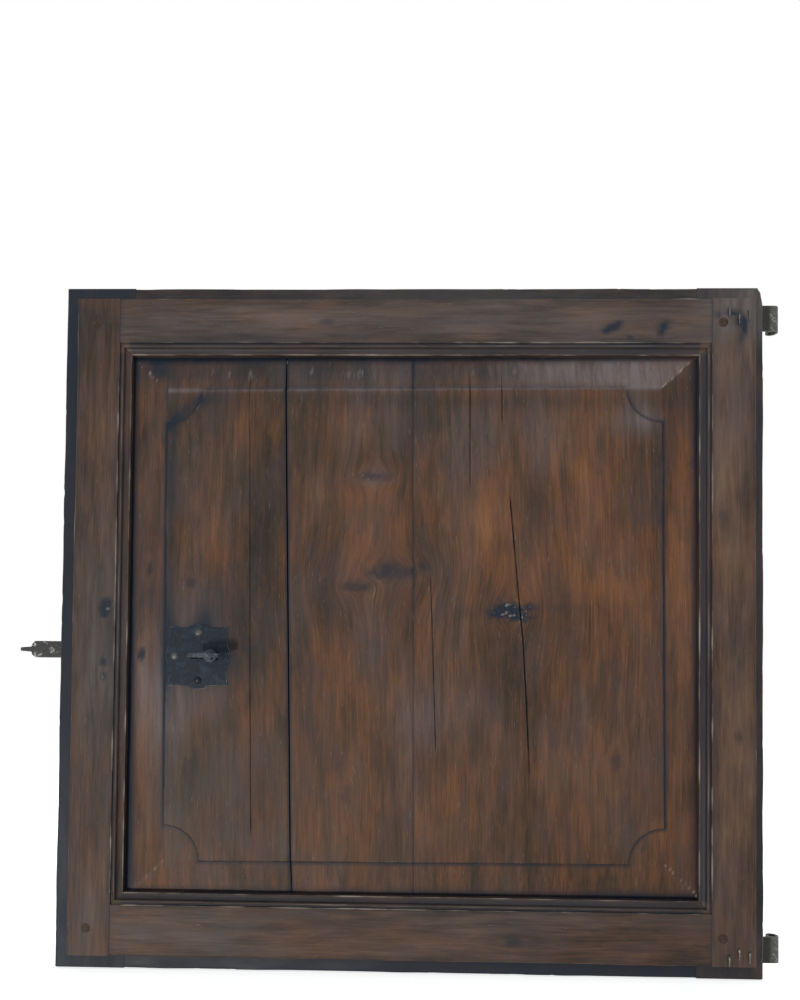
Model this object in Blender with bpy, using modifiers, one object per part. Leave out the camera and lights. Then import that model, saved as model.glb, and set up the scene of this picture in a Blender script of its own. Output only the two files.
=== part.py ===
"""A framed and panelled wooden door leaf with its lock, key and lift-off hinges.

Metres, +Z up. The origin is on the hinge axis, at the foot of the lower hinge eye. The leaf
stretches along -X from there, and its front faces -Y.
"""

import math

import bmesh
import bpy
from mathutils import Vector

# Leaf
LEAF_HEIGHT = 0.800
FRONT_WIDTH = 0.7885
THICKNESS = 0.028
LIP_RECESS = 0.012
LIP_LOCK_SIDE = 0.0185
LIP_HINGE_SIDE = 0.013
LIP_ENDS = 0.018

# Frame
LOCK_STILE_WIDTH = 0.0635
HINGE_STILE_WIDTH = 0.0638
TOP_RAIL_WIDTH = 0.065
BOTTOM_RAIL_WIDTH = 0.072
MITRE_DEPTH = 0.010
TENON_FRONT = 0.0145
TENON_THICKNESS = 0.0085
TENON_HAUNCH = 0.014
TENON_END_INSET = 0.0005
GROOVE_FRONT = 0.011
GROOVE_WIDTH = 0.007
GROOVE_DEPTH = 0.013
PEG_RADIUS = 0.0055
PEG_PROUD = 0.0003
PEG_RISE = 0.005
LOCK_PEG_INSET = 0.028
HINGE_PEG_INSET = 0.013

# Moulding worked on the inner edge of the frame
MOULDING_WIDTH = 0.013
QUIRK_WIDTH = 0.0012
QUIRK_DEPTH = 0.0018
BEAD_RADIUS = 0.0021
BEAD_SINK = 0.0006
FILLET_WIDTH = 0.0022
FILLET_STEP = 0.0007
HOLLOW_DEPTH = 0.005

# Panel
PANEL_SINK = 0.003
FIELD_STEP = 0.0025
PANEL_ENGAGE = 0.0065
PANEL_EDGE = 0.0045
BORDER_SIDE = 0.0428
BORDER_END = 0.039
SCOOP_RADIUS = 0.041
PANEL_SHIFT = 0.0019
PANEL_TILT = math.radians(0.4)
FIRST_BOARD_TOP = 0.1877
FIRST_BOARD_FOOT = 0.1977
FIRST_JOINT_GAP = 0.0018
MIDDLE_BOARD_TOP = 0.149
MIDDLE_BOARD_FOOT = 0.141
SECOND_JOINT_GAP = 0.0006
TONGUE_LENGTH = 0.005
TONGUE_THICKNESS = 0.002

# Hinges
KNUCKLE_RADIUS = 0.007
EYE_RADIUS = 0.0042
KNUCKLE_HEIGHT = 0.030
KNUCKLE_SETBACK = 0.0275
KNUCKLE_REACH = 0.0205
HINGE_PLATE = 0.003
HINGE_LENGTH = 0.076
HINGE_NAIL_OUT = 0.0424
HINGE_NAIL_MIDDLE = 0.054
HINGE_NAIL_IN = 0.0652
HINGE_NAIL_DROP_IN = 0.0025
HINGE_NAIL_DROP_OUT = 0.0065
HINGE_NAIL_DROP_MIDDLE = 0.010
CLENCH_LENGTH = 0.011

# Nails
NAIL_SHANK_RADIUS = 0.0016
NAIL_HEAD_RADIUS = 0.0046
NAIL_HEAD_HEIGHT = 0.0022
LOCK_NAIL_LENGTH = 0.021
KEYHOLE_PLATE_NAIL_LENGTH = 0.012

# Key
KEY_BACKSET = 0.1819
KEY_DROP = 0.4358
KEY_STEM_RADIUS = 0.005
KEY_BORE_RADIUS = 0.0026
KEY_BORE_DEPTH = 0.020
BIT_RADIUS = 0.024
BIT_THICKNESS = 0.0045
BIT_WIDTH = 0.0137
BIT_SLIT_DEPTH = 0.004
BOW_WIDTH = 0.039
BOW_LENGTH = 0.028
BOW_BAR = 0.006
BOW_THICKNESS = 0.005
BOW_STANDOFF = 0.006
COLLAR_RADIUS = 0.0075
COLLAR_LENGTH = 0.004
KEYHOLE_CLEARANCE = 0.0008
KEYWAY_CLEARANCE = 0.0025

# Keyhole plate
KEYHOLE_PLATE = 0.0015
LOBE_RADIUS = 0.024
LOBE_REACH = 0.0375
LOBE_SPREAD = math.radians(32)
EAR_REACH = 0.0345
EAR_PULL_OUT = 0.0325
EAR_PULL_IN = 0.0245
PLATE_NAIL_CIRCLE = 0.0275
PLATE_OFFSET_X = -0.0157
PLATE_OFFSET_Z = -0.0006

# Lock
LOCK_PLATE = 0.0027
LOCK_FLANGE_END = 0.014
LOCK_FLANGE_SIDE = 0.003
CASE_LEFT = 0.106
CASE_RIGHT = 0.056
CASE_ABOVE = 0.048
CASE_BELOW = 0.040
CASE_WALL = 0.002
CASE_DEPTH = 0.016
COVER_PLATE = 0.002
DRILL_PIN_CLEARANCE = 0.0003
DRILL_PIN_LENGTH = 0.018
WARD_RADIUS = 0.0138
WARD_WALL = 0.0014
WARD_LENGTH = 0.005
RIVET_RADIUS = 0.0036
RIVET_HEIGHT = 0.0012
POST_RADIUS = 0.003
POST_TENON_RADIUS = 0.002
LOCK_NAIL_INSET = 0.007

# Bolt and what guides it
BOLT_THICKNESS = 0.007
BOLT_HEIGHT = 0.020
TAIL_ABOVE_KEY = 0.009
BOLT_CRANK = 0.0121
CRANK_BEFORE_KEY = 0.072
BOLT_THROW = 0.048
BOLT_OUT = 0.0455
BOLT_CHAMFER = 0.004
NOSE_LENGTH = 0.0135
NOSE_BASE = 0.0064
NOSE_TIP = 0.0042
TALON_WIDTH = 0.018
TALON_CLEARANCE = 0.0009
TAIL_BEHIND_TALON = 0.015
TAIL_RISE = 0.008
BOLT_CLEARANCE = 0.0005
BOLT_STANDOFF = 0.001
KEEP_WALL = 0.003
KEEP_WIDTH = 0.008
KEEP_INSET = 0.008
STAPLE_INSET = 0.030
STAPLE_WIDTH = 0.005
STAPLE_WALL = 0.004
STAPLE_GRIP = 0.012
SPRING_THICKNESS = 0.0012
SPRING_WIDTH = 0.005
SPRING_FOOT = 0.010
SPRING_REACH = 0.044
SPRING_TOUCH = 0.078
SPRING_CURL = 0.008

# Fits and facets
GAP = 0.0003
OVER = 0.004
WELD = 0.00002
ROUND_SIDES = 24
NAIL_SIDES = 8
PEG_SIDES = 14

# Places that follow from the sizes
RIGHT_EDGE = -KNUCKLE_REACH
LEFT_EDGE = RIGHT_EDGE - LIP_HINGE_SIDE - FRONT_WIDTH - LIP_LOCK_SIDE
BOTTOM_EDGE = KNUCKLE_HEIGHT / 2 - KNUCKLE_SETBACK
TOP_EDGE = BOTTOM_EDGE + LEAF_HEIGHT
FRONT = -(KNUCKLE_RADIUS + GAP) - THICKNESS
INNER_LEFT = LEFT_EDGE + LIP_LOCK_SIDE + LOCK_STILE_WIDTH
INNER_RIGHT = RIGHT_EDGE - LIP_HINGE_SIDE - HINGE_STILE_WIDTH
INNER_TOP = TOP_EDGE - LIP_ENDS - TOP_RAIL_WIDTH
INNER_BOTTOM = BOTTOM_EDGE + LIP_ENDS + BOTTOM_RAIL_WIDTH
TENON_BACK = TENON_FRONT + TENON_THICKNESS
PANEL_BACK = GROOVE_FRONT + GROOVE_WIDTH - GAP
TONGUE_FRONT = PANEL_BACK - PANEL_EDGE
KEY_X = LEFT_EDGE + KEY_BACKSET
KEY_Z = TOP_EDGE - KEY_DROP
LOCK_BACK = THICKNESS + GAP + LOCK_PLATE
RIM_FRONT = LOCK_BACK + GAP
RIM_BACK = RIM_FRONT + CASE_DEPTH
COVER_FRONT = RIM_BACK + GAP
COVER_BACK = COVER_FRONT + COVER_PLATE
BOLT_FRONT = RIM_FRONT + BOLT_STANDOFF
BOLT_BACK = BOLT_FRONT + BOLT_THICKNESS
TAIL_FOOT = KEY_Z + TAIL_ABOVE_KEY
TAIL_TOP = TAIL_FOOT + BOLT_HEIGHT + TAIL_RISE
BOLT_FOOT = TAIL_FOOT - BOLT_CRANK
BOLT_TOP = BOLT_FOOT + BOLT_HEIGHT
TALON_X = KEY_X - BOLT_THROW / 2


def depth(distance):
    """World Y of a distance measured back from the door's front face."""
    return FRONT + distance


def arc(centre, radius, start, end, count):
    """Points on an arc, both ends included, angles in degrees."""
    turns = [math.radians(start + (end - start) * i / count) for i in range(count + 1)]
    return [(centre[0] + radius * math.cos(t), centre[1] + radius * math.sin(t)) for t in turns]


def bend(start, pull, end, count):
    """Points on a curve from start to end that leans towards pull, both ends left out."""
    points = []
    for i in range(1, count):
        t = i / count
        weights = ((1 - t) ** 2, 2 * t * (1 - t), t * t)
        points.append(tuple(sum(w * p[k] for w, p in zip(weights, (start, pull, end))) for k in (0, 1)))
    return points


def rectangle(low_a, high_a, low_b, high_b):
    return [(low_a, low_b), (high_a, low_b), (high_a, high_b), (low_a, high_b)]


# Scene, collections and materials

def fresh_collection(name):
    collection = bpy.data.collections.new(name)
    bpy.context.scene.collection.children.link(collection)
    return collection


def finish_material(name, colour, roughness, metallic):
    made = bpy.data.materials.new(name)
    made.use_nodes = True
    shader = made.node_tree.nodes["Principled BSDF"]
    shader.inputs["Base Color"].default_value = (*colour, 1.0)
    shader.inputs["Roughness"].default_value = roughness
    shader.inputs["Metallic"].default_value = metallic
    return made


for leftover in list(bpy.data.objects):
    bpy.data.objects.remove(leftover)
PARTS = fresh_collection("panelled_door")
CUTTERS = fresh_collection("cutters")
PINE = finish_material("stained_pine", (0.055, 0.030, 0.018), 0.55, 0.0)
PANEL_PINE = finish_material("stained_pine_panel", (0.075, 0.036, 0.018), 0.5, 0.0)
PEG_WOOD = finish_material("peg_wood", (0.045, 0.027, 0.018), 0.6, 0.0)
IRON = finish_material("forged_iron", (0.045, 0.040, 0.036), 0.5, 0.9)
LOCK_IRON = finish_material("lock_iron", (0.070, 0.062, 0.054), 0.45, 0.9)


def as_part(obj, material):
    """Keeps an object as a piece of the door, shown in its material."""
    PARTS.objects.link(obj)
    obj.data.materials.clear()
    obj.data.materials.append(material)
    return obj


def as_cutter(obj):
    """Keeps an object as a helper that shapes others and isn't a piece itself."""
    CUTTERS.objects.link(obj)
    obj.hide_render = True
    obj.display_type = "WIRE"
    return obj


def shape_by(obj, other, operation):
    modifier = obj.modifiers.new(f"{operation.lower()} {other.name}", "BOOLEAN")
    modifier.operation = operation
    modifier.object = other
    return obj


def cut(other, *objs):
    as_cutter(other)
    for obj in objs:
        shape_by(obj, other, "DIFFERENCE")


def join(obj, other):
    as_cutter(other)
    return shape_by(obj, other, "UNION")


# Blanks that pieces and cutters start from

TURNS = {"X": (math.pi / 2, 0, math.pi / 2), "Y": (math.pi / 2, 0, 0), "Z": (0, 0, 0)}


def slab(name, loops, low, high, along):
    """A flat outline, with any holes, given thickness from low to high along one axis.

    Points are (x, z) along Y, (x, y) along Z and (y, z) along X.
    """
    curve = bpy.data.curves.new(name, "CURVE")
    curve.dimensions = "2D"
    curve.fill_mode = "BOTH"
    curve.extrude = (high - low) / 2
    for loop in loops:
        spline = curve.splines.new("POLY")
        spline.points.add(len(loop) - 1)
        for point, (a, b) in zip(spline.points, loop):
            point.co = (a, b, 0, 1)
        spline.use_cyclic_u = True
    outline = bpy.data.objects.new(name, curve)
    bpy.context.scene.collection.objects.link(outline)
    outline.rotation_euler = TURNS[along]
    outline.location["XYZ".index(along)] = (low + high) / 2
    bpy.context.view_layer.update()
    graph = bpy.context.evaluated_depsgraph_get()
    mesh = bpy.data.meshes.new_from_object(outline.evaluated_get(graph))
    solid = bpy.data.objects.new(name + "_solid", mesh)
    solid.matrix_world = outline.matrix_world
    bpy.data.objects.remove(outline)
    solid.name = name
    work = bmesh.new()
    work.from_mesh(mesh)
    bmesh.ops.remove_doubles(work, verts=work.verts, dist=WELD)
    bmesh.ops.recalc_face_normals(work, faces=work.faces)
    work.to_mesh(mesh)
    work.free()
    return solid


def block(name, low, high):
    """A box between two corners."""
    mesh = bpy.data.meshes.new(name)
    work = bmesh.new()
    bmesh.ops.create_cube(work, size=1)
    size = Vector(high) - Vector(low)
    bmesh.ops.scale(work, vec=size, verts=work.verts)
    bmesh.ops.translate(work, vec=(Vector(low) + Vector(high)) / 2, verts=work.verts)
    work.to_mesh(mesh)
    work.free()
    return bpy.data.objects.new(name, mesh)


def turned(name, profile, at, facing, sides=ROUND_SIDES, closed=False):
    """A turned piece. profile is (radius, height) from the top down, and height points to facing."""
    mesh = bpy.data.meshes.new(name)
    edges = [(i, i + 1) for i in range(len(profile) - 1)]
    if closed:
        edges.append((len(profile) - 1, 0))
    mesh.from_pydata([(radius, 0, height) for radius, height in profile], edges, [])
    obj = bpy.data.objects.new(name, mesh)
    obj.location = at
    obj.rotation_euler = {"front": (math.pi / 2, 0, 0), "back": (-math.pi / 2, 0, 0), "up": (0, 0, 0)}[facing]
    screw = obj.modifiers.new("turn", "SCREW")
    screw.axis = "Z"
    screw.steps = sides
    screw.render_steps = sides
    screw.use_merge_vertices = True
    screw.merge_threshold = WELD
    screw.use_smooth_shade = True
    return obj


def drilled(name, x, z, radius, low, high, sides):
    """A cutter for a round hole along Y, low and high measured back from the front face."""
    half = (high - low) / 2
    profile = [(0, half), (radius, half), (radius, -half), (0, -half)]
    return turned(name, profile, (x, depth((low + high) / 2), z), "back", sides)


# The frame

def moulding_profile():
    """(distance from the inner edge, depth) from the flat face to the inner edge."""
    bead_centre = (MOULDING_WIDTH - QUIRK_WIDTH - BEAD_RADIUS, BEAD_SINK + BEAD_RADIUS)
    rise = math.degrees(math.asin((bead_centre[1] - QUIRK_DEPTH) / BEAD_RADIUS))
    points = [(MOULDING_WIDTH, 0), (MOULDING_WIDTH, QUIRK_DEPTH)]
    points += [(t, 2 * bead_centre[1] - d) for t, d in arc(bead_centre, BEAD_RADIUS, rise, 180, 7)]
    start, drop = points[-1][0] - FILLET_WIDTH, HOLLOW_DEPTH - bead_centre[1]
    for i in range(1, 6):
        turn = math.radians(90 * i / 5)
        points.append((FILLET_WIDTH + start * math.cos(turn), bead_centre[1] + drop * math.sin(turn)))
    return points + [(FILLET_WIDTH, HOLLOW_DEPTH - FILLET_STEP), (0, HOLLOW_DEPTH - FILLET_STEP)]


def member_profile(lip, width):
    """(distance from the outer edge, depth) round the section of a stile or rail."""
    inner = lip + width
    points = [(0, LIP_RECESS), (lip, LIP_RECESS), (lip, 0)]
    points += [(inner - t, d) for t, d in moulding_profile()]
    return points + [(inner, THICKNESS), (0, THICKNESS)]


def stile(name, edge, towards, lip, width):
    """An upright of the frame. towards is 1 where the stile lies to the right of its outer edge."""
    section = [(edge + towards * a, depth(d)) for a, d in member_profile(lip, width)]
    obj = as_part(slab(name, [section], BOTTOM_EDGE, TOP_EDGE, "Z"), PINE)
    inner = edge + towards * (lip + width)
    low_x, high_x = sorted((edge - towards * OVER, inner + towards * OVER))
    for end, outward in (("top", 1), ("foot", -1)):
        tip = TOP_EDGE if outward > 0 else BOTTOM_EDGE
        low_z, high_z = sorted((tip - outward * LIP_ENDS, tip + outward * OVER))
        near_corner = (low_x, depth(-OVER), low_z)
        far_corner = (high_x, depth(LIP_RECESS), high_z)
        cut(block(f"{name}_{end}_rebate", near_corner, far_corner), obj)
    groove_x = sorted((inner - towards * GROOVE_DEPTH, inner + towards * OVER))
    groove = block(
        f"{name}_groove",
        (groove_x[0], depth(GROOVE_FRONT), INNER_BOTTOM - GROOVE_DEPTH),
        (groove_x[1], depth(GROOVE_FRONT + GROOVE_WIDTH), INNER_TOP + GROOVE_DEPTH),
    )
    cut(groove, obj)
    return obj


def tenon_span(outward):
    """Lowest and highest Z of a rail's tenons."""
    if outward > 0:
        return INNER_TOP + GROOVE_DEPTH, TOP_EDGE - LIP_ENDS - TENON_HAUNCH
    return BOTTOM_EDGE + LIP_ENDS + TENON_HAUNCH, INNER_BOTTOM - GROOVE_DEPTH


def rail(name, outward, width):
    """A cross piece of the frame, tenoned through both stiles. outward is 1 for the top rail."""
    edge = TOP_EDGE if outward > 0 else BOTTOM_EDGE
    inner = INNER_TOP if outward > 0 else INNER_BOTTOM
    section = [(depth(d), edge - outward * a) for a, d in member_profile(LIP_ENDS, width)]
    ends = (LEFT_EDGE + TENON_END_INSET, RIGHT_EDGE - TENON_END_INSET)
    obj = as_part(slab(name, [section], *ends, "X"), PINE)
    groove_z = sorted((inner - outward * OVER, inner + outward * GROOVE_DEPTH))
    groove = block(
        f"{name}_groove",
        (INNER_LEFT - OVER, depth(GROOVE_FRONT), groove_z[0]),
        (INNER_RIGHT + OVER, depth(GROOVE_FRONT + GROOVE_WIDTH), groove_z[1]),
    )
    cut(groove, obj)
    low, high = tenon_span(outward)
    far_z, near_z = edge + outward * OVER, inner - outward * OVER
    cheeks = [
        rectangle(depth(MITRE_DEPTH - GAP), depth(THICKNESS + OVER), *sorted((far_z, near_z))),
        rectangle(depth(TENON_FRONT), depth(TENON_BACK), low, high),
    ]
    for side, inner_x, out in (("left", INNER_LEFT, -1), ("right", INNER_RIGHT, 1)):
        beyond = (LEFT_EDGE if out < 0 else RIGHT_EDGE) + out * OVER
        low_x, high_x = sorted((beyond, inner_x - out * GAP))
        cut(slab(f"{name}_{side}_cheeks", cheeks, low_x, high_x, "X"), obj)
        joint_x = inner_x + out * MOULDING_WIDTH
        mitre = [
            (beyond, far_z), (joint_x, far_z), (joint_x, inner + outward * MOULDING_WIDTH),
            (inner_x, inner), (inner_x, near_z), (beyond, near_z),
        ]
        cut(slab(f"{name}_{side}_mitre", [mitre], depth(-OVER), depth(MITRE_DEPTH), "Y"), obj)
    return obj


def let_in_rail(stile_obj, outward, inner_x, out):
    """Cuts a stile's mortise, and the mitre in its moulding, for one end of a rail."""
    name = f"{stile_obj.name}_{'top' if outward > 0 else 'foot'}"
    low, high = tenon_span(outward)
    low_x, high_x = sorted((inner_x - out * OVER, (LEFT_EDGE if out < 0 else RIGHT_EDGE) + out * OVER))
    mortise = block(
        f"{name}_mortise",
        (low_x, depth(TENON_FRONT - GAP), low - GAP),
        (high_x, depth(TENON_BACK + GAP), high + GAP),
    )
    cut(mortise, stile_obj)
    inner = INNER_TOP if outward > 0 else INNER_BOTTOM
    far_z = (TOP_EDGE if outward > 0 else BOTTOM_EDGE) + outward * OVER
    joint_x = inner_x + out * (MOULDING_WIDTH + GAP)
    mitre = [
        (joint_x, far_z), (joint_x, inner + outward * MOULDING_WIDTH), (inner_x + out * GAP, inner),
        (inner_x - out * OVER, inner), (inner_x - out * OVER, far_z),
    ]
    cut(slab(f"{name}_mitre", [mitre], depth(-OVER), depth(MITRE_DEPTH), "Y"), stile_obj)


def peg(name, x, z, *held):
    """A wooden peg through a stile and the tenon in it."""
    length = THICKNESS + 2 * PEG_PROUD
    profile = [(0, length / 2), (PEG_RADIUS, length / 2), (PEG_RADIUS, -length / 2), (0, -length / 2)]
    as_part(turned(name, profile, (x, depth(THICKNESS / 2), z), "back", PEG_SIDES), PEG_WOOD)
    hole = drilled(f"{name}_hole", x, z, PEG_RADIUS + GAP, -OVER, THICKNESS + OVER, PEG_SIDES)
    cut(hole, *held)


lock_stile = stile("lock_stile", LEFT_EDGE, 1, LIP_LOCK_SIDE, LOCK_STILE_WIDTH)
hinge_stile = stile("hinge_stile", RIGHT_EDGE, -1, LIP_HINGE_SIDE, HINGE_STILE_WIDTH)
top_rail = rail("top_rail", 1, TOP_RAIL_WIDTH)
bottom_rail = rail("bottom_rail", -1, BOTTOM_RAIL_WIDTH)
for rail_obj, rail_outward, rail_word in ((top_rail, 1, "top"), (bottom_rail, -1, "bottom")):
    peg_z = sum(tenon_span(rail_outward)) / 2 + rail_outward * PEG_RISE
    let_in_rail(lock_stile, rail_outward, INNER_LEFT, -1)
    let_in_rail(hinge_stile, rail_outward, INNER_RIGHT, 1)
    lock_peg_x = INNER_LEFT - MOULDING_WIDTH - LOCK_PEG_INSET
    hinge_peg_x = INNER_RIGHT + MOULDING_WIDTH + HINGE_PEG_INSET
    peg(f"{rail_word}_lock_side_peg", lock_peg_x, peg_z, lock_stile, rail_obj)
    peg(f"{rail_word}_hinge_side_peg", hinge_peg_x, peg_z, hinge_stile, rail_obj)


# The panel, in its own slightly turned frame

OPENING_HALF = ((INNER_RIGHT - INNER_LEFT) / 2, (INNER_TOP - INNER_BOTTOM) / 2)
PANEL_HALF = (OPENING_HALF[0] + PANEL_ENGAGE, OPENING_HALF[1] + PANEL_ENGAGE)
FIELD_HALF = (OPENING_HALF[0] - BORDER_SIDE, OPENING_HALF[1] - BORDER_END)
panel_frame = bpy.data.objects.new("panel_frame", None)
PARTS.objects.link(panel_frame)
panel_frame.location = ((INNER_LEFT + INNER_RIGHT) / 2 + PANEL_SHIFT, 0, (INNER_TOP + INNER_BOTTOM) / 2)
panel_frame.rotation_euler = (0, -PANEL_TILT, 0)


def on_panel(obj):
    obj.parent = panel_frame
    return obj


def bevelled_blank():
    """The whole panel as one blank: a thin edge all round, and a bevel that rises from it to the field."""
    mesh = bpy.data.meshes.new("panel_blank")
    work = bmesh.new()
    bmesh.ops.create_cube(work, size=2)
    middle = (TONGUE_FRONT + PANEL_BACK) / 2
    half = (PANEL_BACK - TONGUE_FRONT) / 2
    bmesh.ops.scale(work, vec=(PANEL_HALF[0], half, PANEL_HALF[1]), verts=work.verts)
    bmesh.ops.translate(work, vec=(0, depth(middle), 0), verts=work.verts)
    work.faces.ensure_lookup_table()
    front = min(work.faces, key=lambda face: face.calc_center_median().y)
    raised = bmesh.ops.extrude_face_region(work, geom=[front])["geom"]
    bmesh.ops.delete(work, geom=[front], context="FACES_ONLY")
    foot = depth(PANEL_SINK + FIELD_STEP)
    for vert in (part for part in raised if isinstance(part, bmesh.types.BMVert)):
        vert.co = (math.copysign(FIELD_HALF[0], vert.co.x), foot, math.copysign(FIELD_HALF[1], vert.co.z))
    bmesh.ops.recalc_face_normals(work, faces=work.faces)
    work.to_mesh(mesh)
    work.free()
    return mesh


def field_outline():
    """The raised field, with a quarter circle scooped out of each corner."""
    x, z = FIELD_HALF
    corners = ((x, z, 180, 270), (-x, z, 270, 360), (-x, -z, 0, 90), (x, -z, 90, 180))
    points = []
    for corner_x, corner_z, start, end in corners:
        points += reversed(arc((corner_x, corner_z), SCOOP_RADIUS, start, end, 12))
    return points


def strip(name, left, right, low, high):
    """An upright slice between two leaning lines, each given as (x at the top, x at the foot)."""
    reach = PANEL_HALF[1] + OVER
    outline = [(left[0], reach), (right[0], reach), (right[1], -reach), (left[1], -reach)]
    return on_panel(slab(name, [outline], depth(low), depth(high), "Y"))


def moved(line, distance):
    return (line[0] + distance, line[1] + distance)


def board(name, left, right, tongue_from=None, groove_from=None):
    """One board of the panel between two joint lines."""
    obj = as_part(on_panel(bpy.data.objects.new(name, panel_mesh.copy())), PANEL_PINE)
    shape_by(obj, panel_field, "UNION")
    slice_solid = as_cutter(strip(f"{name}_width", left, right, -OVER, PANEL_BACK + OVER))
    shape_by(obj, slice_solid, "INTERSECT")
    tongue_middle = (TONGUE_FRONT + PANEL_BACK) / 2
    for line, grow, operation in ((tongue_from, 0, "UNION"), (groove_from, GAP, "DIFFERENCE")):
        if line is None:
            continue
        half = TONGUE_THICKNESS / 2 + grow
        reach = (moved(line, -TONGUE_LENGTH - 2 * grow), moved(line, OVER if operation == "UNION" else 0))
        tongue = strip(f"{name}_{operation.lower()}", *reach, tongue_middle - half, tongue_middle + half)
        shape_by(obj, as_cutter(tongue), operation)
        if operation == "UNION":
            ends = on_panel(block(
                f"{name}_length",
                (-2 * PANEL_HALF[0], depth(-OVER), -PANEL_HALF[1]),
                (2 * PANEL_HALF[0], depth(PANEL_BACK + OVER), PANEL_HALF[1]),
            ))
            shape_by(obj, as_cutter(ends), "INTERSECT")
    return obj


panel_mesh = bevelled_blank()
panel_field = on_panel(slab(
    "panel_field", [field_outline()], depth(PANEL_SINK), depth(PANEL_SINK + 2 * FIELD_STEP), "Y"
))
as_cutter(panel_field)
OUTSIDE = PANEL_HALF[0] + OVER
first_joint = (FIRST_BOARD_TOP - PANEL_HALF[0], FIRST_BOARD_FOOT - PANEL_HALF[0])
second_joint = (first_joint[0] + MIDDLE_BOARD_TOP, first_joint[1] + MIDDLE_BOARD_FOOT)
board_left = board(
    "panel_board_lock_side", (-OUTSIDE, -OUTSIDE), moved(first_joint, -FIRST_JOINT_GAP / 2),
    groove_from=moved(first_joint, FIRST_JOINT_GAP / 2),
)
board_middle = board(
    "panel_board_middle", moved(first_joint, FIRST_JOINT_GAP / 2), moved(second_joint, -SECOND_JOINT_GAP / 2),
    tongue_from=moved(first_joint, FIRST_JOINT_GAP / 2),
    groove_from=moved(second_joint, SECOND_JOINT_GAP / 2),
)
board_right = board(
    "panel_board_hinge_side", moved(second_joint, SECOND_JOINT_GAP / 2), (OUTSIDE, OUTSIDE),
    tongue_from=moved(second_joint, SECOND_JOINT_GAP / 2),
)


# Nails

def nail(name, x, z, seat, length, facing, *held):
    """A nail whose head sits on seat, a distance back from the front face, with holes for it in held."""
    profile = [
        (0, NAIL_HEAD_HEIGHT), (NAIL_HEAD_RADIUS * 0.55, NAIL_HEAD_HEIGHT * 0.75), (NAIL_HEAD_RADIUS, 0),
        (NAIL_SHANK_RADIUS, 0), (NAIL_SHANK_RADIUS, -length), (0, -length - NAIL_SHANK_RADIUS),
    ]
    obj = as_part(turned(name, profile, (x, depth(seat), z), facing, NAIL_SIDES), IRON)
    inward = 1 if facing == "front" else -1
    span = sorted((seat - inward * OVER, seat + inward * (length + NAIL_SHANK_RADIUS + 2 * GAP)))
    cut(drilled(f"{name}_hole", x, z, NAIL_SHANK_RADIUS + GAP, *span, NAIL_SIDES), *held)
    return obj


# Hinges

def hinge(name, middle_z, stile_obj, rail_obj, outward):
    """An iron leaf on the back of the stile, its end rolled into an eye on the hinge axis, and its nails."""
    meets = 180 + math.degrees(math.asin((KNUCKLE_RADIUS - HINGE_PLATE) / KNUCKLE_RADIUS))
    outline = [(-HINGE_LENGTH, HINGE_PLATE - KNUCKLE_RADIUS), (-HINGE_LENGTH, -KNUCKLE_RADIUS)]
    outline += arc((0, 0), KNUCKLE_RADIUS, -90, meets, 20)
    eye = arc((0, 0), EYE_RADIUS, 0, 360, 20)[:-1]
    low, high = middle_z - KNUCKLE_HEIGHT / 2, middle_z + KNUCKLE_HEIGHT / 2
    leaf = as_part(slab(name, [outline, eye], low, high, "Z"), IRON)
    seat = THICKNESS + GAP + HINGE_PLATE + GAP
    places = (
        (HINGE_NAIL_IN, HINGE_NAIL_DROP_IN),
        (HINGE_NAIL_OUT, HINGE_NAIL_DROP_OUT),
        (HINGE_NAIL_MIDDLE, HINGE_NAIL_DROP_MIDDLE),
    )
    for number, (inset, drop) in enumerate(places, 1):
        x, z = -inset, middle_z - outward * drop
        point_y = -NAIL_SHANK_RADIUS - GAP
        obj = nail(f"{name}_nail_{number}", x, z, seat, seat - point_y, "back", leaf, stile_obj, rail_obj)
        clench = [
            (0, 0), (NAIL_SHANK_RADIUS * 0.97, 0),
            (NAIL_SHANK_RADIUS / 3, -CLENCH_LENGTH), (0, -CLENCH_LENGTH),
        ]
        join(obj, turned(f"{name}_clench_{number}", clench, (x, depth(point_y), z), "up", NAIL_SIDES))


hinge("upper_hinge", TOP_EDGE - KNUCKLE_SETBACK, hinge_stile, top_rail, 1)
hinge("lower_hinge", BOTTOM_EDGE + KNUCKLE_SETBACK, hinge_stile, bottom_rail, -1)


# Lock case on the back of the leaf

def keyhole(clearance):
    """A round hole for the key's stem with a slot to the left for its bit."""
    radius = KEY_STEM_RADIUS + clearance
    half = BIT_THICKNESS / 2 + clearance
    turn = math.degrees(math.asin(half / radius))
    tip = KEY_X - BIT_RADIUS - clearance
    round_side = arc((KEY_X, KEY_Z), radius, 180 + turn, 540 - turn, 20)
    return [(tip, KEY_Z + half), (tip, KEY_Z - half)] + round_side


CASE = (KEY_X - CASE_LEFT, KEY_X + CASE_RIGHT, KEY_Z - CASE_BELOW, KEY_Z + CASE_ABOVE)
PLATE = (
    CASE[0] - LOCK_FLANGE_END, CASE[1] + LOCK_FLANGE_END,
    CASE[2] - LOCK_FLANGE_SIDE, CASE[3] + LOCK_FLANGE_SIDE,
)
packing = as_part(block(
    "lock_packing",
    (INNER_LEFT + GAP, depth(PANEL_BACK + GAP), PLATE[2]),
    (PLATE[1], depth(THICKNESS), PLATE[3]),
), PINE)
lock_plate = as_part(slab(
    "lock_plate", [rectangle(*PLATE), keyhole(KEYHOLE_CLEARANCE)],
    depth(THICKNESS + GAP), depth(LOCK_BACK), "Y",
), LOCK_IRON)
keyway = slab("keyway", [keyhole(KEYWAY_CLEARANCE)], depth(-OVER), depth(THICKNESS + GAP / 2), "Y")
cut(keyway, packing, board_left)
inside = (CASE[0] + CASE_WALL, CASE[1] - CASE_WALL, CASE[2] + CASE_WALL, CASE[3] - CASE_WALL)
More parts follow.
